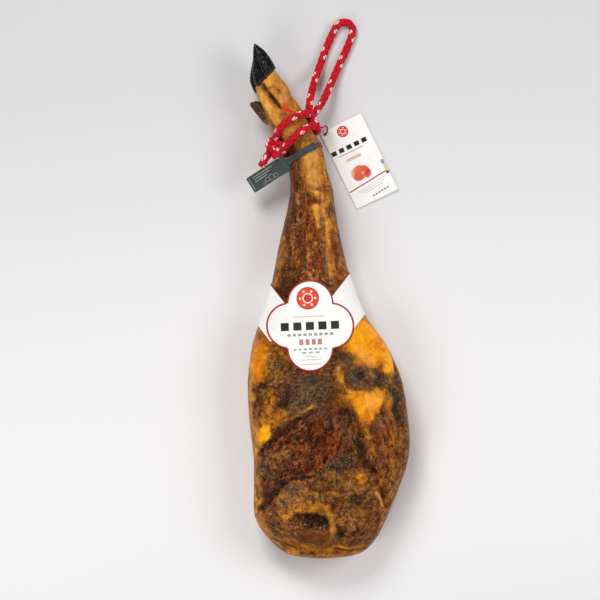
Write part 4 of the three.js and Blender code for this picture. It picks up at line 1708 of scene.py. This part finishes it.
@dataclass(frozen=True)
class PaperFinish:
    """White coated paper or card with plain marks."""

    name: str
    white: Colour
    rough: float
    deep: float = 1000.0  # a mark's reach in height, so that bent paper has all of it

    def material(self, marks: Sequence[Mark], flat: Callable[[Recipe], Socket],
                 rims: Callable[[Recipe, object], object] | None = None) -> Material:
        """Prints the marks on the paper.

        Args:
            marks: what is printed.
            flat: gives the place on the paper, in millimetres.
            rims: adds the lines that follow the paper's edge.

        Returns:
            The material.
        """
        look = Recipe(self.name, Specular_IOR_Level=0.4)
        place = look.place()
        tooth = look.noise(place, 1800, 3, 0.65)
        cloud = look.noise(place, 60, 3)
        colour = look.mix(look.ramp(cloud, 0.4, 0.75, 0, 0.5), self.white, shade(238, 236, 232))
        spot = flat(look) if marks else None
        for mark in marks:
            near = look.mapped(spot, (mark.wide, mark.high, self.deep), (0, 0, mark.turn),
                               (mark.x, mark.y, 0), "TEXTURE")
            if mark.form is Form.DISC:
                reach = look.add("ShaderNodeVectorMath", operation="LENGTH")
                look.feed(reach.inputs[0], near)
                far = reach.outputs["Value"]
            else:
                sides = look.add("ShaderNodeVectorMath", operation="ABSOLUTE")
                look.feed(sides.inputs[0], near)
                split = look.add("ShaderNodeSeparateXYZ")
                look.feed(split.inputs[0], sides.outputs[0])
                far = look.sum("MAXIMUM", split.outputs[0], split.outputs[1])
            inside = look.ramp(far, 1.03, 0.97, 0, mark.strength)
            colour = look.mix(inside, colour, mark.ink)
        if rims is not None:
            colour = rims(look, colour)
        return look.dress(colour, look.ramp(tooth, 0.3, 0.7, self.rough - 0.08, self.rough + 0.08),
                          tooth, 0.06, 0.5)


@dataclass
class SwingCard:
    """The folded card that hangs from the rope and lies on the surface."""

    width: float = 74.0
    length: float = 137.0
    leaf: float = 0.5
    lying: float = 0.05  # the lower leaf's height above the floor
    gap: float = 0.15  # between the leaves at their fold
    open: float = 2.2  # how much further apart their free edges are
    curl: float = 4.0
    bow: float = 0.5
    grid: tuple[int, int] = (37, 69)
    inset: float = 6.0
    hole: float = 2.0
    turn: float = 0.454
    place: Pair = (51.0, 225.95)

    def build(self) -> None:
        """Makes the card."""
        front = PaperFinish("card_face", shade(250, 250, 249), 0.42)
        back = PaperFinish("card_plain", shade(244, 243, 240), 0.6)
        finishes = [back.material((), self.spot), front.material(self.marks(), self.spot)]
        add_piece("swing_card_leaves", self.leaves(), "card_paper", "swing_card",
                  finishes=finishes)

    def spot(self, look: Recipe) -> Socket:
        """Millimetres from the middle of the card, from its UV map."""
        return look.mapped(look.uv(), (self.width, self.length, 1), (0, 0, 0),
                           (-self.width / 2, -self.length / 2, 0))

    def marks(self) -> list[Mark]:
        """Plain bars, discs and blots in place of print."""
        blot = shade(222, 74, 38)
        marks = [
            *rosette(-2.3, 54.5, 9.2),
            *row_of_blocks(-4, 27.7, 62, 3.7, 5),
            Mark(Form.BAR, -5, 19.5, 22, 0.9, GREY, 0.8),
            Mark(Form.BAR, -4.7, 8.8, 12.5, 2.4, shade(226, 166, 150), 0.8),
            Mark(Form.DISC, -6, -17, 15, 12, shade(238, 150, 112), 0.8),
            Mark(Form.DISC, -9, -21, 10, 8, blot, 0.9, 0.4),
            Mark(Form.DISC, 1, -16, 10, 7, blot, 0.9, -0.5),
            Mark(Form.DISC, -7, -11, 8, 5, shade(230, 104, 62), 0.9, 0.3),
            Mark(Form.DISC, 5, -24, 7, 5, shade(200, 50, 30), 0.85, 0.8),
            Mark(Form.DISC, -2, -19, 3.5, 3.0, shade(240, 150, 110), 0.9),
            Mark(Form.BAR, -1, -35.8, 34.5, 1.0, shade(176, 60, 50), 1.0, 0.1),
            Mark(Form.BAR, 34.2, -17, 2.4, 4.0, shade(120, 134, 160), 0.9),
            Mark(Form.BAR, 34.6, -27, 2.4, 5.2, shade(206, 206, 120), 0.9),
            Mark(Form.BAR, 34.4, -35.4, 2.4, 2.2, shade(60, 60, 58)),
        ]
        for row in range(3):
            marks.append(Mark(Form.BAR, 2, -42 - 3.6 * row, 26 - 4 * row, 0.6, GREY, 0.6, 0.1))
        for dash in range(6):
            marks.append(Mark(Form.BAR, -2 + 5.2 * dash, -60 + 0.5 * dash, 1.8, 1.0,
                              shade(80, 80, 80), 1.0, 0.1))
        return marks

    def leaves(self) -> Mesh:
        """Two thin leaves, one over the other from the fold, the upper one printed and a little
        bowed.
        """
        work = bmesh.new()
        work.loops.layers.uv.new("UVMap")
        for upper in (0, 1):
            before = set(work.faces)
            bmesh.ops.create_grid(work, x_segments=self.grid[0], y_segments=self.grid[1],
                                  size=0.5, calc_uvs=True)
            new = [f for f in work.faces if f not in before]
            for vertex in {v for f in new for v in f.verts}:
                u, v = vertex.co.x + 0.5, vertex.co.y + 0.5
                bend = self.curl * u * u * (v - 0.5) ** 2 + self.bow * math.sin(math.pi * v) * u
                high = self.leaf + self.gap + self.open * u + bend
                height = high if upper else self.lying
                vertex.co = Vector((self.width * (u - 0.5), self.length * (v - 0.5), height)) * MM
            self.punch(work, new)
            left = [f for f in new if f.is_valid]
            bmesh.ops.solidify(work, geom=left, thickness=-self.leaf * MM)
        place = (np.array([*self.place, 0.0]) + LEG_ORIGIN) * MM
        bmesh.ops.recalc_face_normals(work, faces=work.faces)
        middle = 1.2 * self.leaf * MM
        for face in work.faces:
            printed = face.normal.z > 0.5 and face.calc_center_median().z > middle
            face.material_index = int(printed)
        bmesh.ops.transform(work, verts=work.verts, matrix=Matrix.Translation(Vector(place))
                            @ Matrix.Rotation(self.turn, 4, "Z"))
        return finished(work, "swing_card_leaves")

    def punch(self, work: Work, faces: list[bmesh.types.BMFace]) -> None:
        """Opens the round hole for the cord in one leaf, before it gets its thickness.

        Args:
            work: the mesh that the leaf is in.
            faces: the leaf's faces.
        """
        centre = Vector((self.inset - self.width / 2, self.length / 2 - self.inset)) * MM
        middle = min((v for f in faces for v in f.verts), key=lambda v: (v.co.xy - centre).length)
        centre = middle.co.xy.copy()
        rim = {v for f in middle.link_faces for v in f.verts} - {middle}
        bmesh.ops.delete(work, geom=list(middle.link_faces), context="FACES")
        for vertex in rim:
            out = (vertex.co.xy - centre).normalized() * self.hole * MM
            vertex.co.xy = centre + out


@dataclass
class CardCord:
    """The thin twisted cord from the rope to the card."""

    diameter: float = 2.4
    strand: float = 0.05  # how far the strands stand out from the twist's radius
    step: float = 0.35
    hole: Pair = (-4.27, 268.52)
    points: tuple[Point, ...] = (
        (-12, 9, 46), (-6, 10, 47), (-1, 11.5, 42), (2, 13, 32), (3.5, 12.5, 20), (4.5, 9, 9),
        (4, 4, 5), (1, 0.8, 4.6), (0, 0, 2.4), (0, 0, 1.2),
    )

    def build(self) -> None:
        hole = np.array([*self.hole, 0.0])
        line = smooth_route([hole + p for p in self.points], self.step)
        braid = Braid(self.diameter / 2 - self.strand, strands=3, lay=9.0, relief=0.3, tracers=())
        rope = Rope("card_cord_twist", line, braid, "red_cord", ("card_cord",), sides=18)
        finish = RopeFinish(red=shade(170, 10, 30), pale=shade(170, 10, 30))
        piece = rope.build(finish.material())
        length_of(line) * MM


# ---- the collar


@dataclass
class Collar:
    """The paper band round the leg with its four-lobed panel, lapped underneath."""

    skin: Skin
    paper: float = 0.5
    lift: float = 0.8
    band: float = 66.0
    lap: float = 14.0
    lobe: float = 37.0
    across: float = 33.0
    along: float = 36.0
    plane: Slant = Slant(3.9, 9.1, 0.0)
    swing_front: float = 1.3
    swing_behind: float = 41.0
    inset: float = 12.0  # how far short of the side lobes' foot the band's lower edge stops
    panel: Pair = (-27.5, -38.7)
    panel_floor: float = 55.0  # paper lower than this is never part of the panel
    print_turn: float = 0.045
    lap_radius: float = 65.5  # the leg's radius where the paper laps
    lap_rise: float = 0.9  # how far the outer end stands off the inner one
    lap_start: int = 8  # the higher, the later the outer end starts to rise
    tries: int = 12  # halvings until an edge is found
    nowhere: float = -1e3  # below any edge and outside any rim, in millimetres
    unprinted: float = -20.0
    columns: int = 340
    rows: int = 60

    def build(self) -> None:
        """Wraps and dresses the collar."""
        kept: dict[str, Array] = {}
        mesh = bent_sheet("neck_collar_paper", self.columns, self.rows,
                          lambda u, v: self.wrapped(u, v, kept))
        for key, values in kept.items():
            paint_attribute(mesh, key, values)
        with_thickness(mesh, self.paper)
        finish = PaperFinish("collar_paper", shade(252, 251, 249), 0.45)
        dressed = finish.material(self.marks(), self.spot, self.rims)
        add_piece("neck_collar_paper", mesh, "collar_paper", "neck_collar", finishes=[dressed])

    def lobes(self) -> Array:
        """The middles of the panel's four discs."""
        steps = np.array([[0, self.along], [0, -self.along], [-self.across, 0], [self.across, 0]])
        return np.array(self.panel) + steps

    def band_edge(self, x: float, angle: float, side: int) -> float:
        """Where the band alone would end: in front it runs straight down to the panel.

        Args:
            x: millimetres across, where the edge is.
            angle: radians round the leg.
            side: 1 towards the foot and -1 the other way.

        Returns:
            Millimetres along the leg.
        """
        half = side * self.band / 2
        if math.sin(angle) < 0:
            return self.plane.at(angle) + half + self.swing_behind * (1 - abs(math.cos(angle)))
        outwards = math.pi if math.cos(angle) < 0 else 0.0
        corner = self.plane.at(outwards) + half
        across = self.skin.at(corner, outwards, self.lift)[0]
        band = corner - self.swing_front * max(math.cos(outwards) * (across - x), 0.0)
        return max(band, self.panel[1] - self.lobe + self.inset) if side < 0 else band

    def edge(self, angle: float, side: int) -> float:
        """Where the paper ends along the leg.

        Args:
            angle: radians round the leg.
            side: 1 towards the foot and -1 the other way.

        Returns:
            Millimetres along the leg.
        """
        edge = self.panel[1]
        for _ in range(self.tries):
            x = self.skin.at(edge, angle, self.lift)[0]
            reaches = [side * cy + math.sqrt(self.lobe**2 - (x - cx) ** 2)
                       for cx, cy in self.lobes()
                       if math.sin(angle) > 0 and abs(x - cx) < self.lobe]
            band = side * self.band_edge(x, angle, side)
            edge = (edge + side * max(band, *reaches, self.nowhere)) / 2
        return edge

    def wrapped(self, u: Array, v: Array, kept: dict[str, Array]) -> Array:
        """The paper's points, and what its printed rims are measured from.

        Args:
            u: shares of the way round, from the seam underneath.
            v: shares of the way up the paper.
            kept: receives the attributes.

        Returns:
            The points in millimetres.
        """
        lap_angle = self.lap / self.lap_radius
        angles = 1.5 * math.pi - u * (2 * math.pi + lap_angle)
        ends = {a: (self.edge(a, -1), self.edge(a, 1)) for a in sorted(set(angles))}
        low = np.array([ends[a][0] for a in angles])
        high = np.array([ends[a][1] for a in angles])
        y = low + v * (high - low)
        lift = self.lift + u**self.lap_start * (self.paper + self.lap_rise)
        points = np.array([self.skin.at(b, a, c) for b, a, c in zip(y, angles, lift)])
        reach = [self.lobe - np.hypot(points[:, 0] - cx, points[:, 1] - cy)
                 for cx, cy in self.lobes()]
        square = self.lobe - np.abs(points[:, :2] - self.panel).max(axis=1)
        inside = np.maximum(np.max(reach, axis=0), square)
        kept["inside"] = np.where(points[:, 2] > self.panel_floor, inside, self.unprinted)
        kept["brow"] = high - y
        return points

    def spot(self, look: Recipe) -> Socket:
        """Millimetres from the middle of the panel, seen from above."""
        centre = (np.array([*self.panel, 0.0]) + LEG_ORIGIN) * MM
        return look.mapped(look.place(), (MM, MM, 1), (0, 0, self.print_turn), tuple(centre),
                           "TEXTURE")

    def rims(self, look: Recipe, colour: object) -> object:
        """The red lines round the panel and along the band's edge towards the foot.

        Args:
            look: the material.
            colour: what has been printed so far.

        Returns:
            The same with the lines over it.
        """
        inside = look.attribute("inside")
        line = look.times(look.ramp(inside, -0.4, 0.1), look.ramp(inside, 3.0, 2.5))
        brow = look.times(look.ramp(look.attribute("brow"), 1.7, 1.3),
                        look.ramp(inside, 0.2, -0.2))
        colour = look.mix(look.sum("MAXIMUM", line, brow), colour, RED)
        return colour

    def marks(self) -> list[Mark]:
        """Plain bars and discs in place of print."""
        faint = shade(196, 200, 196)
        marks = [
            *rosette(-2, 44, 18),
            Mark(Form.BAR, -2.5, 15, 25, 0.9, shade(206, 140, 138), 0.7),
            *row_of_blocks(-0.5, -0.2, 93, 6.4, 5),
            *row_of_blocks(-0.5, -13.8, 73, 2.1, 9, shade(120, 120, 124), 0.8),
            *row_of_blocks(-0.5, -25.6, 36, 4.6, 4, shade(176, 84, 76), 0.85),
            *row_of_blocks(-1.5, -37, 54, 1.4, 7, shade(120, 138, 130), 0.8),
            *row_of_blocks(-1, -42.4, 28, 1.2, 3, shade(104, 146, 118), 0.8),
            Mark(Form.BAR, -1, -61, 15, 0.8, shade(214, 150, 146), 0.8),
        ]
        for row, half in enumerate((9, 16)):
            marks.append(Mark(Form.BAR, -1, -49 - 5 * row, half, 0.7, faint))
        return marks


# ---- the studio


@dataclass(frozen=True)
class Lamp:
    """A soft square lamp: where it is, where it points, its side in metres and its power."""

    name: str
    place: Point
    side: float
    power: float
    colour: Colour = (1.0, 1.0, 1.0)


@dataclass
class Studio:
    """The camera looking straight down, the pale floor and the lamps."""

    aim: Pair = (-43.76, 2.4)  # millimetres on the leg's own axes
    height: float = 8.0
    lens: float = 297.75
    lamps: tuple[Lamp, ...] = (
        Lamp("key_lamp", (-0.7, 1.5, 1.9), 1.0, 34.0, (1.0, 0.98, 0.95)),
        Lamp("side_lamp", (1.5, 0.3, 1.5), 1.0, 16.5),
        Lamp("foot_lamp", (-1.0, -1.2, 1.5), 1.0, 12.5),
    )
    sky: float = 0.24
    floor_half: float = 6.0
    floor_drop: float = 0.0004  # metres, so that nothing lies in the floor's own plane
    # Painted falloff of light on the floor: lit towards -Y and shaded towards +Y.
    floor_lit: Colour = shade(247, 247, 248)
    floor_shaded: Colour = shade(210, 210, 213)

    def build(self) -> None:
        """Sets up everything but the ham."""
        self.camera()
        self.floor()
        for lamp in self.lamps:
            self.light(lamp)
        world = bpy.data.worlds.new("studio")
        world.use_nodes = True
        world.node_tree.nodes["Background"].inputs["Color"].default_value = (1, 1, 1, 1)
        world.node_tree.nodes["Background"].inputs["Strength"].default_value = self.sky
        bpy.context.scene.world = world
        bpy.context.scene.view_settings.view_transform = "Standard"

    def camera(self) -> None:
        """The camera, over the middle of the view."""
        data = bpy.data.cameras.new("camera")
        data.lens = self.lens
        data.clip_end = 50
        camera = bpy.data.objects.new("camera", data)
        over = (np.array(self.aim) + LEG_ORIGIN[:2]) * MM
        camera.location = (over[0], over[1], self.height)
        bpy.context.scene.collection.objects.link(camera)
        bpy.context.scene.camera = camera

    def floor(self) -> None:
        """A wide pale floor, just under the ham, with a painted falloff of light across it."""
        work = bmesh.new()
        bmesh.ops.create_grid(work, x_segments=2, y_segments=2, size=self.floor_half)
        bmesh.ops.translate(work, vec=(0, 0, -self.floor_drop), verts=work.verts)
        mesh = finished(work, "floor")
        look = Recipe("pale_floor", Specular_IOR_Level=0.2)
        cloud = look.noise(look.place(), 1.2, 2)
        sides = look.add("ShaderNodeSeparateXYZ")
        look.feed(sides.inputs[0], look.place())
        # Painted falloff of light: paler at -Y, darker at +Y, a little uneven.
        far = look.ramp(look.plus(sides.outputs["Y"], look.times(cloud, 0.05)),
                        -0.35, 0.6)
        colour = look.mix(far, self.floor_lit, self.floor_shaded)
        mesh.materials.append(look.dress(colour, 0.75))
        floor = bpy.data.objects.new("floor", mesh)
        bpy.context.scene.collection.objects.link(floor)

    def light(self, lamp: Lamp) -> None:
        """One lamp, turned to the middle of the ham.

        Args:
            lamp: what it is like.
        """
        data = bpy.data.lights.new(lamp.name, "AREA")
        data.shape = "SQUARE"
        data.size = lamp.side
        data.energy = lamp.power
        data.color = lamp.colour
        light = bpy.data.objects.new(lamp.name, data)
        light.location = lamp.place
        light.rotation_euler = (-Vector(lamp.place)).to_track_quat("-Z", "Y").to_euler()
        bpy.context.scene.collection.objects.link(light)


# The black horn's heel colour is a painted paler sheen at the coronet; the brown horn's is pale skin.
BLACK_HORN = Horn("black_horn", dark=shade(5, 5, 5), worn=shade(72, 70, 68),
                  heel_and_sheen=shade(46, 42, 37), rough=0.26, ridge=0.22)
BROWN_HORN = Horn("brown_horn", dark=shade(72, 48, 30), worn=shade(150, 110, 74),
                  heel_and_sheen=shade(150, 104, 60), rough=0.5, ridge=0.3)


def claws() -> list[Claw]:
    """The two claws and the broken rear dewclaw."""
    way = math.atan2(0.71, -0.7)
    return [
        Claw("near_claw", (-98, 358), way, BLACK_HORN, "claw_horn",
             cleft=((-98, 346), (-104, 358), (-110, 372), (-115, 390))),
        Claw("far_claw", (-99.5, 348), way, BLACK_HORN, "claw_horn"),
        Claw("rear_dewclaw", (-92, 290), 2.2, BROWN_HORN, "dewclaw_horn", hollow=True),
    ]


def main() -> None:
    """Builds the studio and every piece of the ham."""
    logging.basicConfig(level=logging.INFO, format="%(message)s")
    Studio().build()
    leg = Leg().build()
    skin = Skin(leg)
    Hanging(skin).build()
    CardCord().build()
    SwingCard().build()
    Seal(skin).build()
    Collar(skin).build()
    for claw in claws():
        claw.build()


if __name__ == "__main__":
    main()
